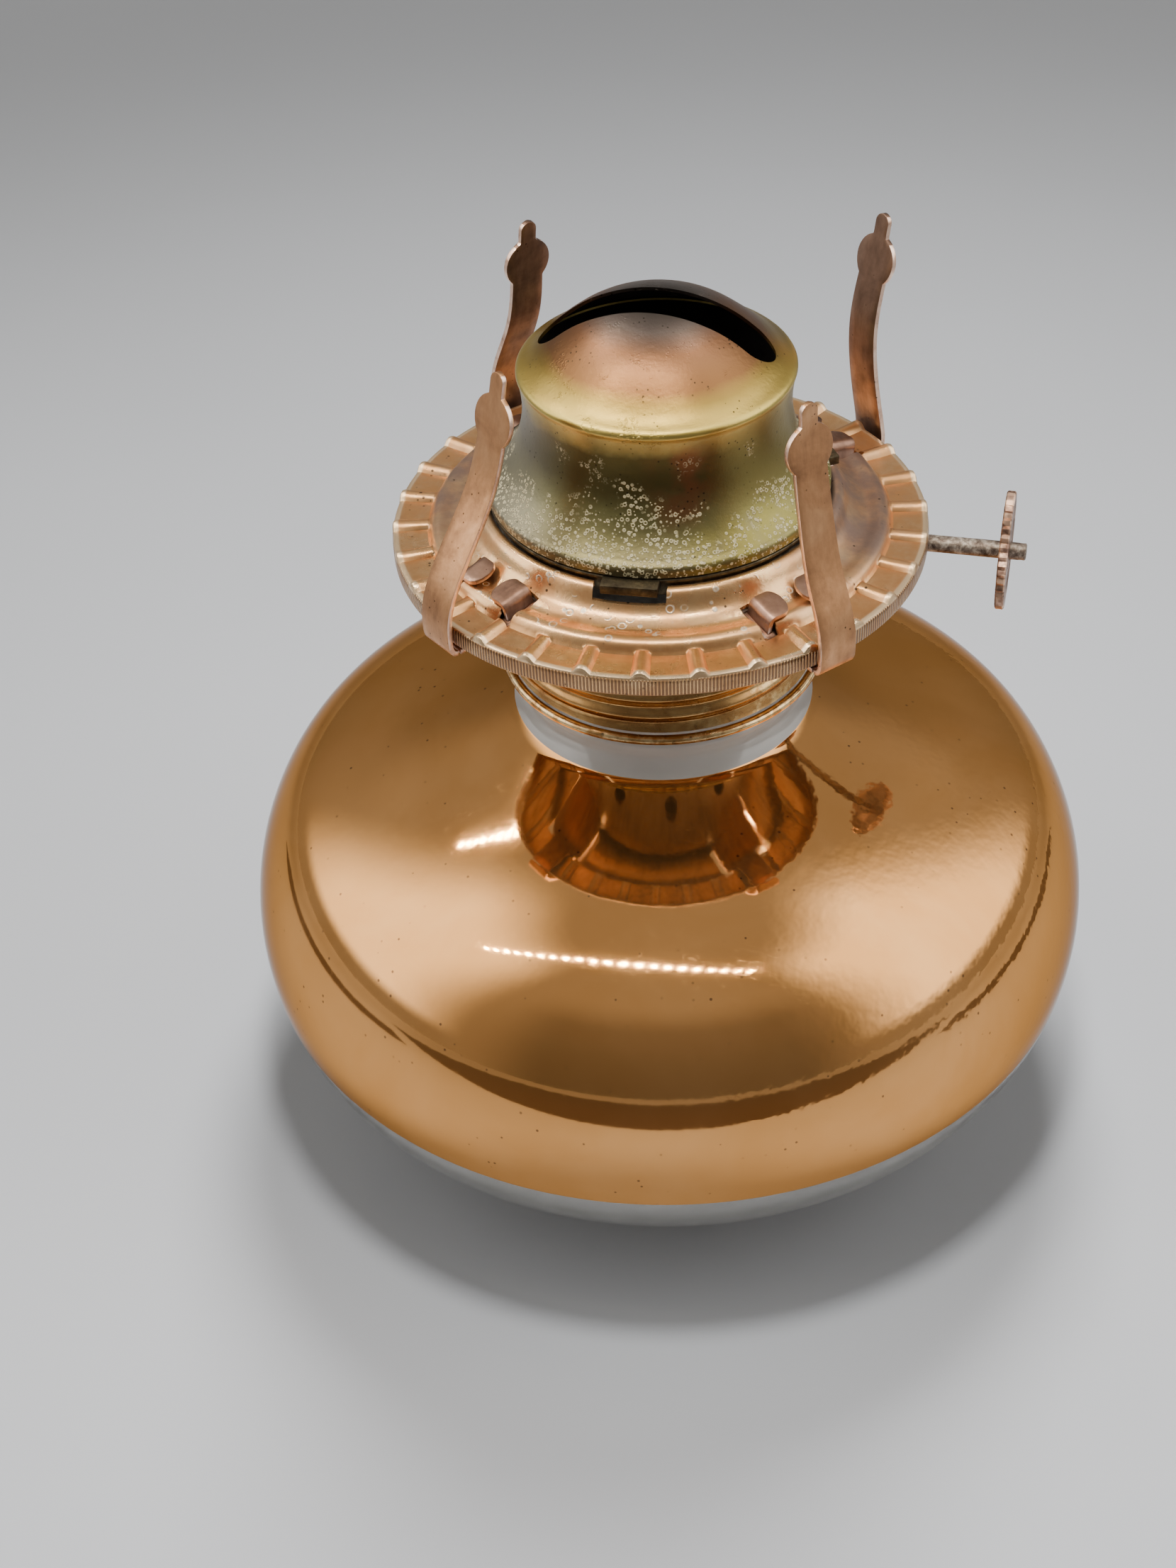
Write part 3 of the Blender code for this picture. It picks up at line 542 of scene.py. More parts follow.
def dome_brass():
    """Heat-tarnished brass: grey and red-brown cap, yellow shoulder, dark olive neck, speckled skirt."""
    f = Finish("dome_brass", metallic=1.0)
    x, y, z = f.axis("X"), f.axis("Y"), f.axis("Z")
    rise = f.sum("SUBTRACT", z, DECK_TOP)
    wander = f.times(f.sum("SUBTRACT", f.grain(8.0, 4.0, 0.6), 0.5), 5.0)
    height = f.sum("ADD", rise, wander)
    level = f.fade(height, 6.0, 38.0)
    level.node.interpolation_type = "LINEAR"
    colour = f.ramp(
        level,
        [
            (0.00, (0.13, 0.11, 0.065)),
            (0.10, (0.27, 0.235, 0.11)),
            (0.26, (0.24, 0.22, 0.09)),
            (0.36, (0.12, 0.10, 0.038)),
            (0.52, (0.105, 0.085, 0.03)),
            (0.62, (0.42, 0.34, 0.12)),
            (0.69, (0.46, 0.33, 0.15)),
            (0.78, (0.46, 0.25, 0.155)),
            (0.88, (0.50, 0.29, 0.20)),
            (1.00, (0.30, 0.235, 0.21)),
        ],
    )
    across_cap = f.sum("ADD", f.radius(), f.times(wander, 0.35))
    cap = f.fade(rise, 26.9, 27.4)
    heat = f.ramp(
        f.fade(across_cap, 2.0, 21.0),
        [
            (0.00, (0.11, 0.09, 0.075)),
            (0.22, (0.20, 0.155, 0.13)),
            (0.50, (0.27, 0.13, 0.065)),
            (0.82, (0.24, 0.115, 0.045)),
            (0.91, (0.32, 0.21, 0.05)),
            (1.00, (0.58, 0.41, 0.10)),
        ],
    )
    colour = f.mix(cap, colour, heat)
    neck = f.hump(rise, 13.0, 25.0, 2.0)
    red = f.times(neck, f.hump(x, 4.0, 11.0, 3.0), f.fade(f.grain(6.0, 3.0), 0.35, 0.6))
    colour = f.mix(f.times(red, 0.7), colour, (0.24, 0.085, 0.04))
    olive = f.times(neck, f.fade(x, 10.0, 17.0))
    colour = f.mix(f.times(olive, 0.75), colour, (0.27, 0.22, 0.075))
    ashen = f.times(f.fade(x, -8.0, -19.0), f.fade(rise, 27.0, 22.0))
    colour = f.mix(f.times(ashen, 0.5), colour, (0.30, 0.28, 0.235))
    skirt = f.fade(rise, 14.5, 11.0)
    green = f.times(skirt, f.fade(x, 6.0, 15.0), f.fade(f.grain(5.0, 4.0), 0.3, 0.6))
    colour = f.mix(f.times(green, 0.8), colour, (0.31, 0.27, 0.07))
    # Painted shade: the back half of the dome is darkened.
    behind = f.fade(y, 2.0, 12.0)
    colour = f.mix(f.times(behind, 0.5), colour, (0.17, 0.14, 0.11))
    spots = f.cells(0.85)
    rings = f.sum("MAXIMUM", f.hump(spots, 0.2, 0.38, 0.05), f.fade(f.cells(0.55), 0.2, 0.3, 1.0, 0.0))
    crowd = f.sum("ADD", f.fade(rise, 18.0, 9.0, -0.08, 0.2), f.times(f.hump(x, -14.0, 9.0, 6.0), 0.12))
    dense = f.fade(f.sum("ADD", f.grain(4.5, 3.0), crowd), 0.56, 0.70)
    colour = f.mix(f.times(rings, dense, f.fade(rise, 25.0, 20.0), 0.85), colour, (0.80, 0.70, 0.42))
    f.set("Metallic", f.sum("SUBTRACT", 1.0, f.times(rings, dense, f.fade(rise, 25.0, 20.0), 0.8)))
    specks = f.times(f.fade(f.cells(0.9), 0.13, 0.2, 1.0, 0.0), f.fade(f.grain(5.0, 3.0), 0.5, 0.62))
    colour = f.mix(f.times(specks, 0.85), colour, (0.035, 0.028, 0.018))
    shoulder = f.hump(rise, 26.3, 27.6, 0.35)
    colour = f.mix(f.times(shoulder, 0.75), colour, (0.62, 0.47, 0.12))
    rough = f.sum("ADD", f.fade(rise, 12.0, 26.0, 0.40, 0.30), f.times(f.grain(3.0, 4.0), 0.12))
    normal = f.relief(f.grain(0.8, 3.0, 0.6), 0.04)
    normal = f.relief(f.times(rings, dense), 0.04, normal)
    return f.done(colour, rough, normal)


def soot(name="soot"):
    f = Finish(name, metallic=0.0)
    crust = f.grain(1.6, 5.0, 0.7)
    colour = f.mix(crust, (0.012, 0.010, 0.009), (0.045, 0.036, 0.03))
    return f.done(colour, f.fade(crust, 0.3, 0.7, 0.75, 0.95), f.relief(crust, 0.08))


def satin_copper(name, pale, mid, dark, patch=7.0, rough=0.36):
    """Brown-pink satin copper with darker clouding and fine drag marks along the strip."""
    f = Finish(name, metallic=1.0)
    cloud = f.grain(patch, 5.0, 0.6, 0.3)
    drag = f.grain(1.2, 3.0, 0.6, 0.0, f.moved((1.0, 1.0, 0.16)))
    tone = f.sum("ADD", f.times(cloud, 0.75), f.times(drag, 0.25))
    colour = f.ramp(tone, [(0.30, dark), (0.50, mid), (0.72, pale)])
    pits = f.times(f.fade(f.cells(1.3), 0.08, 0.14, 1.0, 0.0), f.fade(f.grain(5.0, 2.0), 0.5, 0.62))
    colour = f.mix(f.times(pits, 0.85), colour, tuple(0.2 * c for c in dark))
    normal = f.relief(f.grain(0.5, 3.0, 0.6), 0.016, f.relief(drag, 0.02))
    return f.done(colour, f.fade(tone, 0.3, 0.75, rough + 0.12, rough - 0.04), normal)


def collar_copper():
    """The rolled collar: smoother, browner copper with gold rubbed patches and a gold bead."""
    f = Finish("collar_copper", metallic=1.0)
    z = f.axis("Z")
    cloud = f.grain(6.0, 5.0, 0.6, 0.5, f.moved((1.0, 1.0, 2.2)))
    colour = f.ramp(
        cloud, [(0.3, (0.30, 0.145, 0.05)), (0.5, (0.50, 0.27, 0.095)), (0.7, (0.70, 0.43, 0.17))],
    )
    gold = f.times(f.fade(f.grain(4.0, 6.0, 0.7), 0.5, 0.64), f.fade(f.axis("X"), 4.0, 14.0))
    colour = f.mix(f.times(gold, 0.7), colour, (0.85, 0.60, 0.28))
    bead = f.times(f.hump(f.radius(), 25.2, 27.0, 0.3), f.fade(z, COLLAR_LOW + 2.4, COLLAR_LOW + 1.6))
    colour = f.mix(f.times(bead, f.fade(f.grain(1.4, 3.0), 0.38, 0.6), 0.8), colour, (0.90, 0.66, 0.34))
    dirt = f.times(
        f.fade(f.grain(0.8, 4.0, 0.7), 0.58, 0.68), f.fade(z, COLLAR_LOW + 3.2, COLLAR_LOW + 1.4),
    )
    colour = f.mix(f.times(dirt, 0.8), colour, (0.06, 0.035, 0.02))
    return f.done(colour, f.fade(cloud, 0.3, 0.7, 0.30, 0.17), f.relief(cloud, 0.05))


def oxidised_steel():
    """Plated steel gone mottled: cream oxide over a dark skin."""
    f = Finish("oxidised_steel", metallic=0.75)
    crust = f.grain(1.3, 5.0, 0.7, 0.4)
    colour = f.ramp(
        crust,
        [
            (0.36, (0.09, 0.06, 0.045)),
            (0.5, (0.30, 0.24, 0.19)),
            (0.62, (0.60, 0.53, 0.44)),
            (0.8, (0.75, 0.70, 0.60)),
        ],
    )
    return f.done(colour, f.fade(crust, 0.3, 0.7, 0.42, 0.62), f.relief(crust, 0.06))


def wheel_copper():
    """Thumb wheel: bright rubbed copper on the teeth, dark tarnish on the faces."""
    f = Finish("wheel_copper", metallic=1.0)
    y = f.sum("SUBTRACT", f.axis("Y"), SHAFT_Y)
    z = f.sum("SUBTRACT", f.axis("Z"), SHAFT_Z)
    r = f.sum("SQRT", f.sum("ADD", f.times(y, y), f.times(z, z)))
    cloud = f.grain(3.2, 5.0, 0.65, 0.4)
    colour = f.ramp(
        cloud, [(0.3, (0.11, 0.06, 0.045)), (0.5, (0.30, 0.18, 0.13)), (0.68, (0.55, 0.36, 0.27))],
    )
    # Real wear here: the teeth are rubbed bright.
    wear_and_painted_highlight = f.times(f.fade(r, 8.2, 9.1), f.fade(f.grain(1.9, 3.0), 0.4, 0.58))
    colour = f.mix(f.times(wear_and_painted_highlight, 0.85), colour, (0.90, 0.60, 0.42))
    return f.done(colour, f.fade(cloud, 0.3, 0.7, 0.48, 0.3), f.relief(f.grain(0.7, 4.0, 0.6), 0.05))


def tinned_steel():
    f = Finish("tinned_steel", metallic=1.0)
    cloud = f.grain(5.0, 5.0, 0.6)
    colour = f.ramp(
        cloud, [(0.3, (0.20, 0.17, 0.15)), (0.55, (0.42, 0.39, 0.35)), (0.8, (0.58, 0.55, 0.50))],
    )
    return f.done(colour, f.fade(cloud, 0.3, 0.7, 0.55, 0.35), f.relief(f.grain(0.8, 3.0), 0.03))


def dark_brass():
    f = Finish("dark_brass", metallic=1.0)
    cloud = f.grain(2.4, 5.0, 0.65)
    colour = f.ramp(
        cloud, [(0.3, (0.03, 0.024, 0.017)), (0.55, (0.10, 0.08, 0.05)), (0.75, (0.26, 0.21, 0.12))],
    )
    return f.done(colour, f.fade(cloud, 0.3, 0.7, 0.6, 0.4), f.relief(cloud, 0.05))


def gasket_cork():
    f = Finish("gasket_cork", roughness=0.8)
    crumbs = f.cells(0.9)
    colour = f.mix(crumbs, (0.10, 0.07, 0.05), (0.28, 0.20, 0.13))
    return f.done(colour, f.fade(crumbs, 0.1, 0.7, 0.7, 0.95), f.relief(crumbs, 0.1))


def woven_cotton():
    """Flat wick: fine warp cords crossed by a tight weft, browned towards the burning end."""
    f = Finish("woven_cotton")
    warp = f.sum("SINE", f.times(f.axis("X"), 2.0 * pi / 1.15))
    weft = f.sum(
        "SINE", f.sum("ADD", f.times(f.axis("Z"), 2.0 * pi / 0.8), f.times(f.sum("SIGN", warp), pi / 2)),
    )
    cords = f.sum("MULTIPLY", f.fade(warp, -1.0, 1.0), f.fade(weft, -1.0, 1.0, 0.55, 1.0))
    colour = f.mix(cords, (0.46, 0.41, 0.32), (0.83, 0.79, 0.68))
    burnt = f.fade(f.sum("ADD", f.axis("Z"), f.times(f.grain(3.0, 4.0), 6.0)), 128.0, 133.0)
    colour = f.mix(burnt, colour, (0.03, 0.022, 0.018))
    f.set("Sheen Weight", 0.3)
    return f.done(colour, f.fade(cords, 0.0, 1.0, 0.98, 0.85), f.relief(cords, 0.25))


def make_finishes():
    pink = ((0.78, 0.43, 0.22), (0.54, 0.275, 0.13), (0.25, 0.125, 0.065))
    return {
        "lustre": copper_lustre(),
        "glass": clear_glass(),
        "deck": deck_copper(),
        "dome": dome_brass(),
        "soot": soot(),
        "prong": satin_copper("prong_copper", *pink),
        "foot": satin_copper("foot_copper", (0.50, 0.31, 0.22), (0.33, 0.19, 0.13), (0.12, 0.07, 0.05)),
        "shear": satin_copper(
            "sheared_edge", (0.98, 0.76, 0.62), (0.90, 0.62, 0.47), (0.45, 0.25, 0.17), 2.0, 0.3,
        ),
        "bowl": satin_copper(
            "bowl_copper", (0.72, 0.56, 0.42), (0.52, 0.38, 0.27), (0.24, 0.16, 0.11), 6.0, 0.46,
        ),
        # Painted shade: a darker copy of the prong copper for the back prongs.
        "prong_painted_shade": satin_copper(
            "prong_copper_painted_shade", (0.42, 0.26, 0.18), (0.24, 0.145, 0.10), (0.10, 0.06, 0.045),
        ),
        "collar": collar_copper(),
        "oxide": oxidised_steel(),
        "wheel": wheel_copper(),
        "steel": tinned_steel(),
        "dark": dark_brass(),
        "cork": gasket_cork(),
        "cotton": woven_cotton(),
    }


# ---------------------------------------------------------------- pieces


def make_font(finish):
    """The blown font: clear neck and foot, copper lustre on the outside between them."""
    lip = arc((19.9, FONT_LIP - 1.1), 1.1, 180, 90, 6) + arc((21.1, FONT_LIP - 1.1), 1.1, 90, 0, 6)
    neck = [(22.2, 92.0), (22.25, 87.0), (22.3, 85.0)]
    ring = smooth_through(
        [(22.3, 84.6), (22.9, 83.6), (23.25, 82.6), (23.0, 81.6), (22.7, 80.6), (22.9, 79.4), (23.7, 78.0)],
        20,
    )
    belly = smooth_through(
        [
            (24.6, 77.2),
            (30.5, 74.75),
            (39.6, 71.6),
            (51.4, 67.0),
            (62.1, 60.0),
            (68.5, 49.4),
            (70.8, 36.8),
            (68.6, 24.8),
            (60.6, 14.2),
            (49.9, 7.0),
            (41.0, 2.2),
        ],
        84,
    )
    foot = [
        (40.2, 1.4),
        (39.0, 0.45),
        (37.8, 0.05),
        (36.5, 0.0),
        (29.5, 0.0),
        (28.2, 0.3),
        (26.0, 1.5),
        (0.0, 1.6),
    ]
    inside = smooth_through(
        [
            (24.0, 5.8),
            (46.5, 9.6),
            (58.6, 17.2),
            (65.5, 27.2),
            (67.4, 36.8),
            (65.2, 47.9),
            (59.0, 57.0),
            (49.4, 63.3),
            (38.4, 67.8),
            (27.5, 71.6),
            (20.9, 75.4),
            (18.8, 80.5),
        ],
        52,
    )
    outline = [(0.0, 5.6)] + inside + [(18.8, 88.0)] + lip + neck + ring + belly + foot
    shape = spun(outline, 192, closed=False)
    for height in (FLASH_LOW, FLASH_HIGH):
        bmesh.ops.bisect_plane(
            shape,
            geom=shape.verts[:] + shape.edges[:] + shape.faces[:],
            plane_co=(0, 0, height * MM),
            plane_no=(0, 0, 1),
            dist=0.00000001,
        )
    shape.normal_update()
    for face in shape.faces:
        middle = face.calc_center_median()
        outside = face.normal.x * middle.x + face.normal.y * middle.y > 0.0
        coated = outside and FLASH_LOW * MM < middle.z < FLASH_HIGH * MM
        face.material_index = 1 if coated else 0
    add_thread(shape)
    piece(
        "glass_font",
        shape,
        [finish["glass"], finish["lustre"]],
        "font",
        ["font_glass"],
        40.0,
    )


def add_thread(shape):
    """The glass thread under the collar: a small round ridge wound one and a half times."""
    turns, per_turn, pitch = 1.5, 48, 3.2
    count = int(turns * per_turn)
    ridge = bmesh.new()
    bmesh.ops.create_circle(ridge, cap_ends=True, segments=10, radius=0.7 * MM)
    ridge.transform(Matrix.Translation((22.25 * MM, 0.0, 88.2 * MM)) @ Matrix.Rotation(pi / 2, 4, "X"))
    bmesh.ops.spin(
        ridge,
        geom=ridge.faces[:],
        cent=(0, 0, 0),
        axis=(0, 0, 1),
        dvec=(0, 0, pitch / per_turn * MM),
        angle=2 * pi * turns,
        steps=count,
    )
    bmesh.ops.remove_doubles(ridge, verts=ridge.verts, dist=0.0000002)
    bmesh.ops.recalc_face_normals(ridge, faces=ridge.faces)
    add_shape(shape, ridge)


def make_collar(finish):
    """The screwed collar, its wall pressed into the thread, with a rolled bead below."""
    top = COLLAR_HIGH
    wall_line = [(20.4, top - 0.25), (23.0, top - 0.25), (23.6, top - 0.45), (23.85, top - 1.0)]
    drop = [(23.85, top - 1.4 - 0.2 * i) for i in range(39)]
    flare = [(24.0, COLLAR_LOW + 2.2), (24.25, COLLAR_LOW + 1.7)]
    bead = arc((25.1, COLLAR_LOW + 0.85), 0.62, 150, -150, 14)
    shape = spun(wall(wall_line + drop + flare, 0.5), 180)
    for vert in shape.verts:
        r, z = sqrt(vert.co.x**2 + vert.co.y**2) / MM, vert.co.z / MM
        window = eased((top - 1.2 - z) / 1.2) * eased(
            (z - COLLAR_LOW - 2.6) / 1.0
        ) * eased((r - 22.5) / 0.8)
        turn = atan2(vert.co.y, vert.co.x)
        push = 0.34 * window * sin(2 * pi * z / 3.2 - turn)
        vert.co.x *= 1 + push / r
        vert.co.y *= 1 + push / r
    add_shape(shape, spun(wall(bead, 0.36), 180))
    piece("screw_collar_wall", shape, [finish["collar"]], "burner", ["screw_collar"], 35.0)


def make_bowl(finish):
    """The draught bowl with its air holes and the hole for the shaft."""
    line = smooth_through(
        [(28.6, 111.2), (28.6, 104.9), (27.7, 103.0), (24.3, 98.6), (23.2, 97.85), (20.4, 97.8)], 30,
    )
    shape = spun(wall(line, SHEET), 144)
    holes = bmesh.new()
    for k in range(12):
        turn = 2 * pi * (k + 0.5) / 12
        outward = Vector((cos(turn), sin(turn), -0.7)).normalized()
        add_shape(holes, bar(1.6, 6.0, (26.2 * cos(turn), 26.2 * sin(turn), 100.8), outward, 24))
    add_shape(holes, bar(2.85, 12.0, (28.6, SHAFT_Y, SHAFT_Z), (1, 0, 0), 32))
    piece("draught_bowl_wall", joined(shape, holes), [finish["bowl"]], "burner", ["draught_bowl"])


def make_bushing(finish):
    outline = [
        (1.65, 1.8),
        (2.4, 1.8),
        (2.5, 1.6),
        (2.5, 0.35),
        (3.3, 0.35),
        (3.6, 0.0),
        (3.3, -0.35),
        (2.5, -0.35),
        (2.5, -1.7),
        (1.65, -1.7),
    ]
    shape = spun(outline, 40)
    shape.transform(
        Matrix.Translation(Vector((28.9, SHAFT_Y, SHAFT_Z)) * MM) @ Matrix.Rotation(-pi / 2, 4, "Y")
    )
    piece("shaft_eyelet", shape, [finish["bowl"]], "burner", ["shaft_bushing"])


def make_deck(finish):
    """The pressed deck: rolled lip, hollow ring, raised bead, ribbed panels and knurled rim."""
    lip = smooth_through(
        [
            (26.45, 4.6),
            (26.7, 5.25),
            (27.35, 5.3),
            (27.95, 4.75),
            (28.7, 3.3),
            (29.6, 2.25),
            (30.7, 1.62),
            (31.9, 1.25),
            (33.2, 1.35),
            (34.2, 1.42),
            (35.0, 0.95),
            (35.45, 0.15),
            (35.9, -0.38),
        ],
        46,
    )
    floor = [(36.3, -0.45), (37.2, -0.46), (38.2, -0.46), (39.2, -0.46), (40.0, -0.44)]
    edge = [
        (40.5, -0.38),
        (40.85, -0.34),
        (41.1, -0.45),
        (41.22, -0.7),
        (41.25, -1.1),
        (41.25, -1.8),
        (41.25, -2.5),
        (41.2, -3.0),
        (41.0, -3.2),
    ]
    line = [(r, DECK_TOP + z) for r, z in lip + floor + edge]
    shape = spun(wall(line, SHEET), 720)
    for vert in shape.verts:
        r = sqrt(vert.co.x**2 + vert.co.y**2) / MM
        z = vert.co.z / MM - DECK_TOP
        if r < 35.0 or z < -1.6:
            continue
        step = 2 * pi / RIB_COUNT
        away = (atan2(vert.co.y, vert.co.x) - RIB_PHASE + step / 2) % step - step / 2
        ridge = sqrt(max(1.0 - (abs(away) * r / 1.15) ** 2, 0.0)) if abs(away) * r < 1.15 else 0.0
        rise = ridge * eased((r - 35.4) / 0.7) * eased((z + 1.6) / 0.9)
        vert.co.z += 0.95 * rise * MM
    holes = bmesh.new()
    for azimuth, _ in PRONGS.values():
        for side in (-1, 1):
            at = (TONGUE_RADIUS + 0.15, side * (TONGUE_OFFSET + 0.5), DECK_TOP + 1.0)
            add_shape(holes, block((6.2, 2.5, 8.0), at, radians(azimuth)))
    for turn in LUG_ANGLES:
        add_shape(holes, block((4.4, 10.9, 6.0), (27.0, 0.0, DECK_TOP + 6.6), turn))
    shape = joined(shape, holes)
    shape.normal_update()
    for face in shape.faces:
        face.material_index = 1 if face.normal.z < -0.35 else 0
    piece("burner_deck", shape, [finish["deck"], finish["bowl"]], "burner", ["deck"], 30.0)


def make_dome(finish):
    """The flame dome, its slot cut through the cap, sooty inside."""
    roof = smooth_through(
        [(0.0, 37.45), (4.2, 37.0), (8.0, 35.9), (12.0, 33.9), (15.2, 31.4), (18.0, 28.9)], 40,
    )
    shoulder = smooth_through(
        [(18.0, 28.9), (19.0, 28.1), (19.9, 27.55), (20.5, 27.15), (20.7, 26.8), (20.5, 26.2)], 18,
    )
    neck = smooth_through(
        [(20.5, 26.2), (20.15, 24.0), (20.0, 20.5), (20.9, 15.5), (23.0, 11.0), (25.4, 8.4)], 36,
    )
    skirt = smooth_through([(25.4, 8.4), (25.85, 8.15), (26.05, 7.8), (26.05, 7.2), (26.05, 6.6)], 9)
    line = [(r, DECK_TOP + z) for r, z in roof[1:] + shoulder[1:] + neck[1:] + skirt[1:]]
    outline = wall(line, SHEET)
    outer, inner = outline[: len(line)], outline[len(line) :]
    top = DECK_TOP + roof[0][1]
    shape = spun([(0.0, top + SHEET / 2)] + outer + inner + [(0.0, top - SHEET / 2)], 180, closed=False)
    shape = joined(shape, stadium_block(SLOT_LENGTH, SLOT_WIDTH, DECK_TOP + 24.5, top + 4.0))
    shape.normal_update()
    for face in shape.faces:
        middle = face.calc_center_median()
        inward = face.normal.x * middle.x + face.normal.y * middle.y < 0.0
        low_roof = middle.z > (DECK_TOP + 26.5) * MM and face.normal.z < -0.3
        face.material_index = 1 if (
            inward and face.normal.z < 0.35 and abs(middle.y) > (SLOT_WIDTH / 2 + 0.1) * MM
        ) or low_roof else 0
    piece("flame_dome", shape, [finish["dome"], finish["soot"]], "dome", ["dome_cap"], 38.0)


def make_seat_ring(finish):
    low, top = DECK_TOP + 3.4, DECK_TOP + 6.3
    outline = [
        (24.3, top),
        (26.2, top),
        (26.3, top - 0.15),
        (26.3, top - 0.5),
        (25.9, top - 0.6),
        (25.9, low),
        (25.3, low),
        (24.3, top - 0.8),
    ]
    shape = spun(outline, 144)
    lugs = bmesh.new()
    for turn in LUG_ANGLES:
        add_shape(lugs, block((3.4, 8.5, 1.5), (26.7, 0.0, top - 0.75), turn, 0.2))
    piece(
        "dome_seat",
        joined(shape, lugs, "UNION"),
        [finish["dark"]],
        "dome",
        ["dome_seat_ring"],
    )


def prong_width(height):
    """Strip, round head, narrow throat and rounded tip."""
    centre, radius, tip, tip_radius = 29.5, 4.0, 35.4, 1.4
    width = PRONG_WIDTH - 0.03 * max(height, 0.0)
    head = radius**2 - (height - centre) ** 2
    if height < centre:
        return max(width, 2 * sqrt(max(head, 0.0)))
    if head > tip_radius**2:
        return 2 * sqrt(head)
    return 2 * sqrt(max(tip_radius**2 - (height - tip) ** 2, 0.04)) if height > tip else 2 * tip_radius


def make_prong(name, azimuth, radii, finish):
    """One chimney prong: up from under the rim, in over the deck, ending in a round head."""
    turn = radians(azimuth)
    out, across = Vector((cos(turn), sin(turn), 0.0)), Vector((-sin(turn), cos(turn), 0.0))
    bend = [(41.72, -3.9), (42.3, -3.75), (42.8, -3.1), (43.0, -1.9)]
    knots = bend + list(zip(radii, PRONG_HEIGHTS))
    line = smooth_through(knots, 150)
    path = [out * r + Z_AXIS * (DECK_TOP + z) for r, z in line]
    shape = strip(path, across, [prong_width(z) for _, z in line], PRONG_THICK)
    node = "prong_" + name
    # The back prongs take the darker copy of the prong copper: painted shade.
    face = finish["prong_painted_shade" if out.y > 0.0 else "prong"]
    piece(node + "_strip", shape, [face, finish["shear"]], node, [node])

    under = [
        (28.9, 0.45),
        (30.4, 0.1),
        (32.4, -0.4),
        (34.0, -0.8),
        (35.2, -1.7),
        (36.6, -2.5),
        (38.8, -3.35),
        (40.2, -3.85),
        (41.35, -3.9),
    ]
    line = smooth_through(under, 40)
    path = [out * r + Z_AXIS * (DECK_TOP + z) for r, z in line]
    wide = 2 * TONGUE_OFFSET + 2 * PRONG_THICK
    widths = [PRONG_WIDTH + (wide - PRONG_WIDTH) * eased((35.6 - r) / 1.4) for r, _ in line]
    foot = strip(path, across, widths, PRONG_THICK, rounded=0.1)
    for side in (-1, 1):
        add_shape(foot, tongue(turn, side))
    piece(
        f"prong_foot_{name}_strip",
        foot,
        [finish["foot"], finish["shear"]],
        "burner",
        ["prong_foot_" + name],
    )


def tongue(turn, side):
    """A tab that stands up through its slot and is folded down flat towards its twin."""
    low, tilt = -3.1, radians(12)
    upright = TONGUE_OFFSET
    knots = [
        (upright, low),
        (upright, -1.0),
        (upright - 0.02, -0.2),
        (upright - 0.45, 0.33),
        (upright - 1.2, 0.42),
        (2.6, 0.40),
        (1.55, 0.36),
    ]
    line = smooth_through(knots, 34)
    across = Vector((1.0, 0.0, 0.0))
    path = [Vector((0.0, side * t, z)) for t, z in line]
    widths = []
    for t, z in line:
        nose = min(max((t - 1.5) / 1.6, 0.0), 1.0)
        widths.append(5.0 * sqrt(max(1.0 - (1.0 - nose) ** 2, 0.08)) if z > 0 else 5.0)
    shape = strip(path, across, widths, PRONG_THICK, rounded=0.12)
    place = Matrix.Translation(Vector((TONGUE_RADIUS, 0.0, DECK_TOP + 2.45)) * MM)
    shape.transform(Matrix.Rotation(turn, 4, "Z") @ place @ Matrix.Rotation(tilt, 4, "Y"))
    bmesh.ops.recalc_face_normals(shape, faces=shape.faces)
    return shape


def along_x(shape, x):
    """Lays a shape that was spun round Z along the wick shaft."""
    shape.transform(
        Matrix.Translation(Vector((x, SHAFT_Y, SHAFT_Z)) * MM) @ Matrix.Rotation(pi / 2, 4, "Y")
    )
    return shape


def make_shaft(finish):
    """The wick shaft with its burred outer end, and the toothed thumb wheel."""
    line = [
        (0.0, -14.0),
        (1.1, -14.0),
        (1.35, -13.75),
        (1.35, 20.0),
        (1.32, 36.0),
        (1.35, 50.0),
        (1.35, 54.9),
        (1.3, 55.6),
        (1.35, 56.0),
        (1.1, 56.2),
        (0.0, 56.2),
    ]
    dense = []
    for (r0, z0), (r1, z1) in zip(line, line[1:]):
        count = max(1, int(abs(z1 - z0) / 2.0))
        dense += [(r0 + (r1 - r0) * i / count, z0 + (z1 - z0) * i / count) for i in range(count)]
    piece(
        "wick_shaft_rod",
        along_x(spun(dense + [line[-1]], 32, closed=False), 0.0),
        [finish["oxide"]],
        "shaft",
        ["wick_shaft"],
    )

    half = 0.7
    face = [
        (1.65, half),
        (3.0, half),
        (3.4, half - 0.18),
        (7.4, half - 0.22),
        (7.9, half),
        (8.95, half),
        (9.15, half - 0.2),
    ]
    outline = face + [(r, -x) for r, x in face[::-1]]
    shape = spun(outline, 160)
    for vert in shape.verts:
        r = sqrt(vert.co.x**2 + vert.co.y**2) / MM
        tooth = abs(((atan2(vert.co.y, vert.co.x) / (2 * pi) * 40) % 1.0) - 0.5) * 2.0
        push = -0.42 * (1.0 - tooth) * eased((r - 8.3) / 0.6)
        vert.co.x *= 1 + push / r
        vert.co.y *= 1 + push / r
    piece(
        "thumb_wheel_disc",
        along_x(shape, WHEEL_X),
        [finish["wheel"]],
        "shaft",
        ["thumb_wheel"],
        25.0,
    )


def finish_hidden_parts(finish):
    """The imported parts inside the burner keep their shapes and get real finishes."""
    for node, choice in {
        "neck_gasket": "cork",
        "burner_floor": "steel",
        "air_diffuser": "steel",
        "wick_tube": "steel",
        "vent_tube": "steel",
        "shaft_housing": "steel",
        "sprocket_left": "steel",
        "sprocket_right": "steel",
        "wick": "cotton",
    }.items():
        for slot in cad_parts[node].material_slots:
            slot.material = finish[choice]


# ---------------------------------------------------------------- room


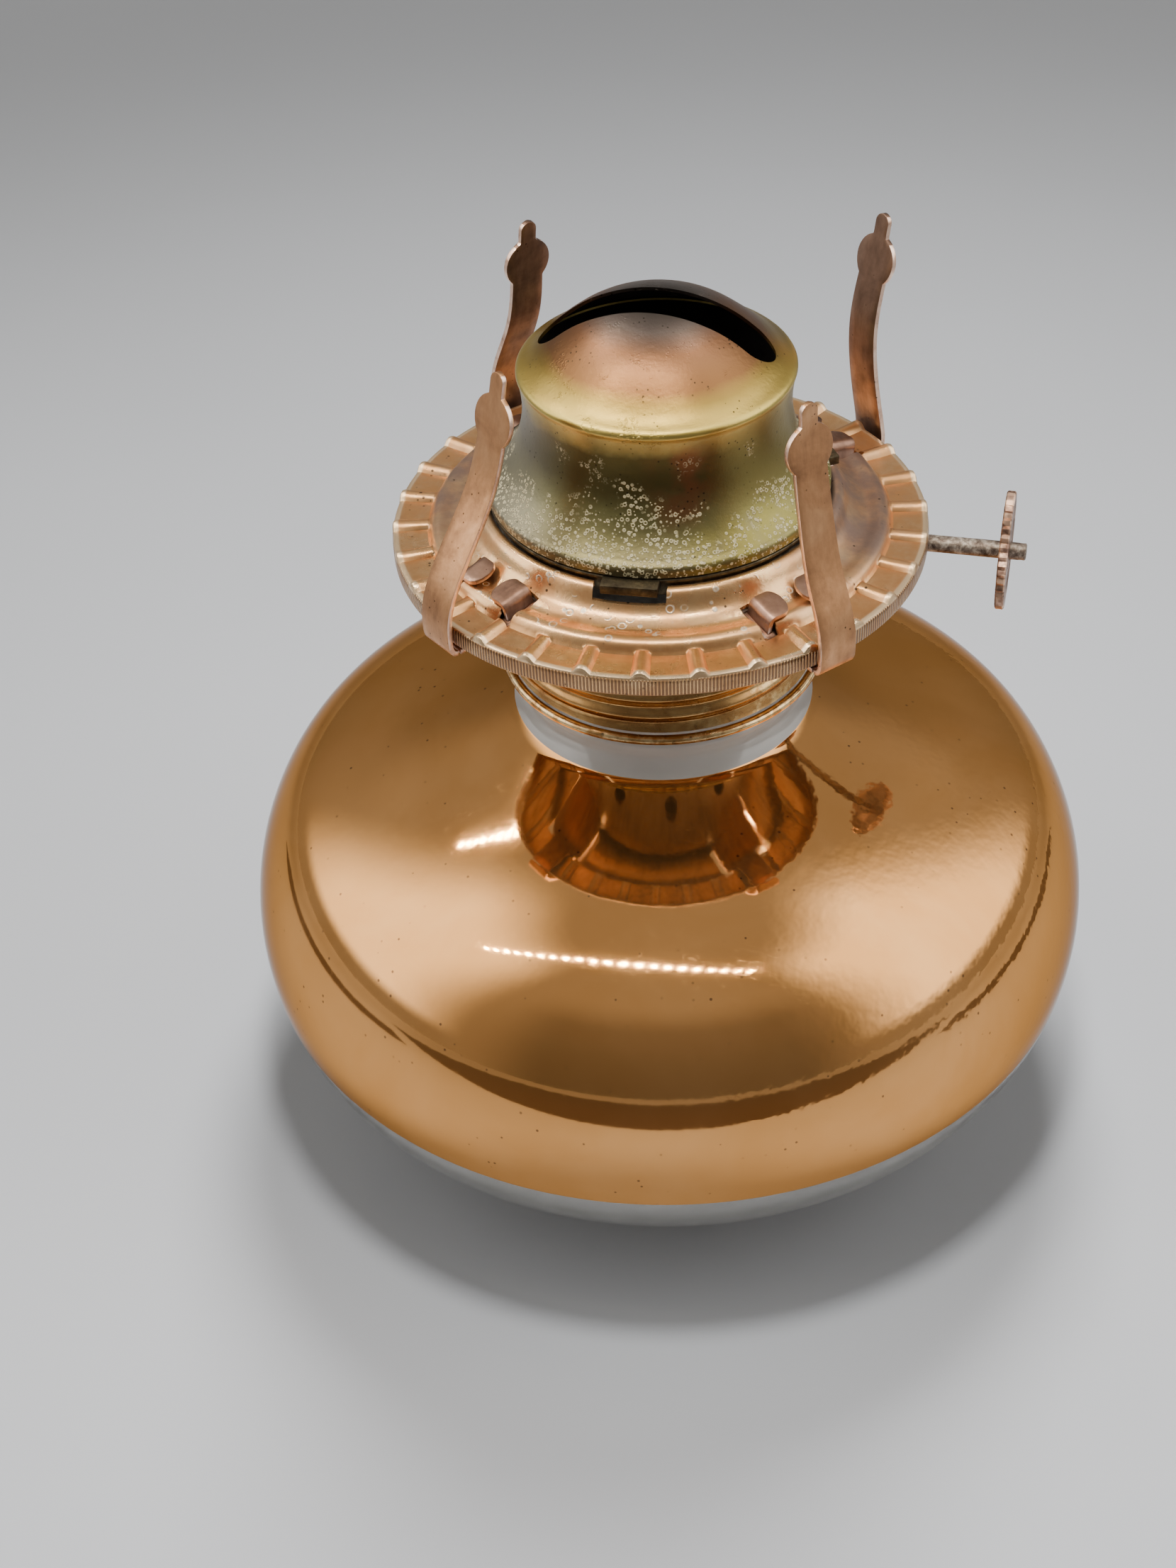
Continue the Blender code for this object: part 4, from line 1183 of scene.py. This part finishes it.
def make_floor():
    shape = bmesh.new()
    bmesh.ops.create_grid(shape, x_segments=8, y_segments=8, size=3.0)
    floor = as_object("floor", shape)
    f = Finish("pale_floor", roughness=0.55)
    tone = f.grain(90.0, 4.0, 0.5)
    colour = f.mix(tone, (0.575, 0.585, 0.605), (0.605, 0.615, 0.635))
    f.done(colour, f.fade(tone, 0.3, 0.7, 0.5, 0.6), f.relief(f.grain(1.5, 3.0), 0.02))
    floor.data.materials.append(f.material)


def area_light(name, at, towards, size, power, spread=180.0, tint=(1.0, 1.0, 1.0)):
    """A soft panel that lights the lamp but isn't seen in it."""
    light = bpy.data.lights.new(name, "AREA")
    light.shape = "DISK"
    light.size = size
    light.energy = power
    light.spread = radians(spread)
    light.color = tint
    obj = bpy.data.objects.new(name, light)
    obj.location = at
    obj.rotation_euler = (Vector(towards) - Vector(at)).to_track_quat("-Z", "Y").to_euler()
    obj.visible_glossy = False
    bpy.context.scene.collection.objects.link(obj)
    return obj


def in_room(front, side, up):
    """A place in the room, in metres towards the viewer, to the viewer's right and up."""
    return Vector((front * FRONT.x + side * SIDE.x, front * FRONT.y + side * SIDE.y, up))


def reflector(name, shape, colour, strength=0.0):
    """A card or lamp in the studio that only shows as a reflection."""
    obj = as_object(name, shape)
    material = bpy.data.materials.new(name)
    material.use_nodes = True
    shader = material.node_tree.nodes["Principled BSDF"]
    shader.inputs["Base Color"].default_value = (*colour, 1.0)
    shader.inputs["Roughness"].default_value = 0.9
    shader.inputs["Emission Color"].default_value = (*colour, 1.0)
    shader.inputs["Emission Strength"].default_value = strength
    obj.data.materials.append(material)
    obj.visible_camera = False
    obj.visible_diffuse = False
    obj.visible_transmission = False
    obj.visible_shadow = False
    return obj


def lamp_row(start, end, count):
    """A row of small bare lamps overhead."""
    row = bmesh.new()
    for i in range(count):
        share = i / max(count - 1, 1)
        spot = bmesh.new()
        bmesh.ops.create_icosphere(spot, subdivisions=2, radius=LAMP_RADIUS)
        front = start[0] + (end[0] - start[0]) * share
        side = start[1] + (end[1] - start[1]) * share
        spot.transform(Matrix.Translation(in_room(front, side, LAMP_HEIGHT)))
        add_shape(row, spot)
    return row


def flat_card(front, side):
    """A level card between two distances from the lamp and two sides, in metres."""
    card = bmesh.new()
    bmesh.ops.create_grid(card, x_segments=1, y_segments=1, size=0.5)
    size = Matrix.Diagonal((side[1] - side[0], front[1] - front[0], 1.0, 1.0))
    facing = Matrix.Rotation(atan2(SIDE.y, SIDE.x), 4, "Z")
    middle = in_room((front[0] + front[1]) / 2, (side[0] + side[1]) / 2, CARD_HEIGHT)
    card.transform(Matrix.Translation(middle) @ facing @ size)
    return card


def make_studio():
    """Two soft panels, the dark table past the pale sheet and three rows of small lamps to be mirrored."""
    area_light("ceiling_panel", in_room(0.06, 0.0, 0.62), in_room(0.10, 0.0, 0.0), 0.09, CEILING_POWER, 120.0)
    area_light("rear_panel", in_room(-0.40, 0.06, 0.70), in_room(0.17, 0.0, 0.0), 0.28, REAR_POWER, 80.0)
    table = (0.055, 0.034, 0.022)
    reflector("table_front", flat_card((0.215, 0.80), (-0.55, 0.55)), table)
    reflector("table_left", flat_card((-0.16, 0.155), (-0.36, -0.28)), table)
    reflector("table_right", flat_card((-0.16, 0.155), (0.28, 0.36)), table)
    warm = (1.0, 0.93, 0.82)
    reflector("lamp_row_near", lamp_row((0.079, -0.325), (0.165, 0.137), 21), warm, 160.0)
    reflector("lamp_row_left", lamp_row((-0.199, -0.321), (-0.168, -0.227), 8), warm, 120.0)
    reflector("lamp_row_right", lamp_row((-0.086, 0.146), (-0.113, 0.176), 3), warm, 120.0)


def make_room():
    """Soft room light: two bright windows at the viewer's sides, a dim gap between and a dim wall behind."""
    world = bpy.data.worlds.new("soft_room")
    bpy.context.scene.world = world
    world.use_nodes = True
    tree = world.node_tree
    for node in list(tree.nodes):
        tree.nodes.remove(node)
    way = tree.nodes.new("ShaderNodeTexCoord").outputs["Generated"]
    turned = tree.nodes.new("ShaderNodeVectorRotate")
    turned.rotation_type = "Z_AXIS"
    turned.inputs["Angle"].default_value = radians(-VIEWER_AZIMUTH)
    tree.links.new(way, turned.inputs["Vector"])
    room = Mixing(tree, turned.outputs["Vector"])
    split = tree.nodes.new("ShaderNodeSeparateXYZ")
    tree.links.new(room.place, split.inputs[0])
    azimuth = room.times(room.sum("ARCTAN2", split.outputs["Y"], split.outputs["X"]), 180.0 / pi)
    height = room.times(room.sum("ARCSINE", split.outputs["Z"]), 180.0 / pi)
    left = room.hump(azimuth, -118.0, -66.0, 14.0)
    right = room.hump(azimuth, 58.0, 116.0, 14.0)
    windows = room.times(
        room.sum("ADD", left, right), room.fade(height, 4.0, 12.0), room.fade(height, 76.0, 58.0),
    )
    behind = room.fade(room.sum("ABSOLUTE", azimuth), 120.0, 150.0)
    low_wall = room.fade(height, 38.0, 26.0)
    gap = room.times(room.hump(azimuth, -42.0, 42.0, 12.0), room.fade(height, 62.0, 40.0))
    level = room.sum("ADD", room.fade(height, 0.0, 60.0, 0.36, 0.46), room.times(windows, 2.4))
    level = room.sum("SUBTRACT", level, room.times(behind, low_wall, 0.16))
    level = room.sum("SUBTRACT", level, room.times(gap, 0.22))
    background = tree.nodes.new("ShaderNodeBackground")
    background.inputs["Color"].default_value = (1.0, 0.985, 0.96, 1.0)
    output = tree.nodes.new("ShaderNodeOutputWorld")
    fill = room.fade(
        tree.nodes.new("ShaderNodeLightPath").outputs["Is Diffuse Ray"], 0.0, 1.0, 1.0, ROOM_FILL,
    )
    tree.links.new(room.times(level, fill), background.inputs["Strength"])
    tree.links.new(background.outputs[0], output.inputs["Surface"])


def make_camera():
    """The viewing place, from its pitch, turn and small roll."""
    pitch, turn, roll = radians(39.95), radians(14.5), radians(2.76)
    forward = Vector((-sin(turn) * cos(pitch), cos(turn) * cos(pitch), -sin(pitch)))
    right = Vector((cos(turn), sin(turn), 0.0))
    down = forward.cross(right)
    image_right = right * cos(roll) + down * sin(roll)
    image_down = down * cos(roll) - right * sin(roll)
    camera = bpy.data.cameras.new("camera")
    camera.sensor_width = 36.0
    camera.sensor_fit = "AUTO"
    camera.lens = 36.0 * 3400.0 / 2212.0
    obj = bpy.data.objects.new("camera", camera)
    place = Matrix((image_right, -image_down, -forward)).transposed().to_4x4()
    place.translation = Vector((65.69, -306.30, 319.08)) * MM
    obj.matrix_world = place
    bpy.context.scene.collection.objects.link(obj)
    bpy.context.scene.camera = obj


make_camera()
make_room()
make_studio()
make_floor()
finishes = make_finishes()
make_font(finishes)
make_collar(finishes)
make_bowl(finishes)
make_bushing(finishes)
make_deck(finishes)
make_dome(finishes)
make_seat_ring(finishes)
for prong, (azimuth, radii) in PRONGS.items():
    make_prong(prong, azimuth, radii, finishes)
make_shaft(finishes)
finish_hidden_parts(finishes)
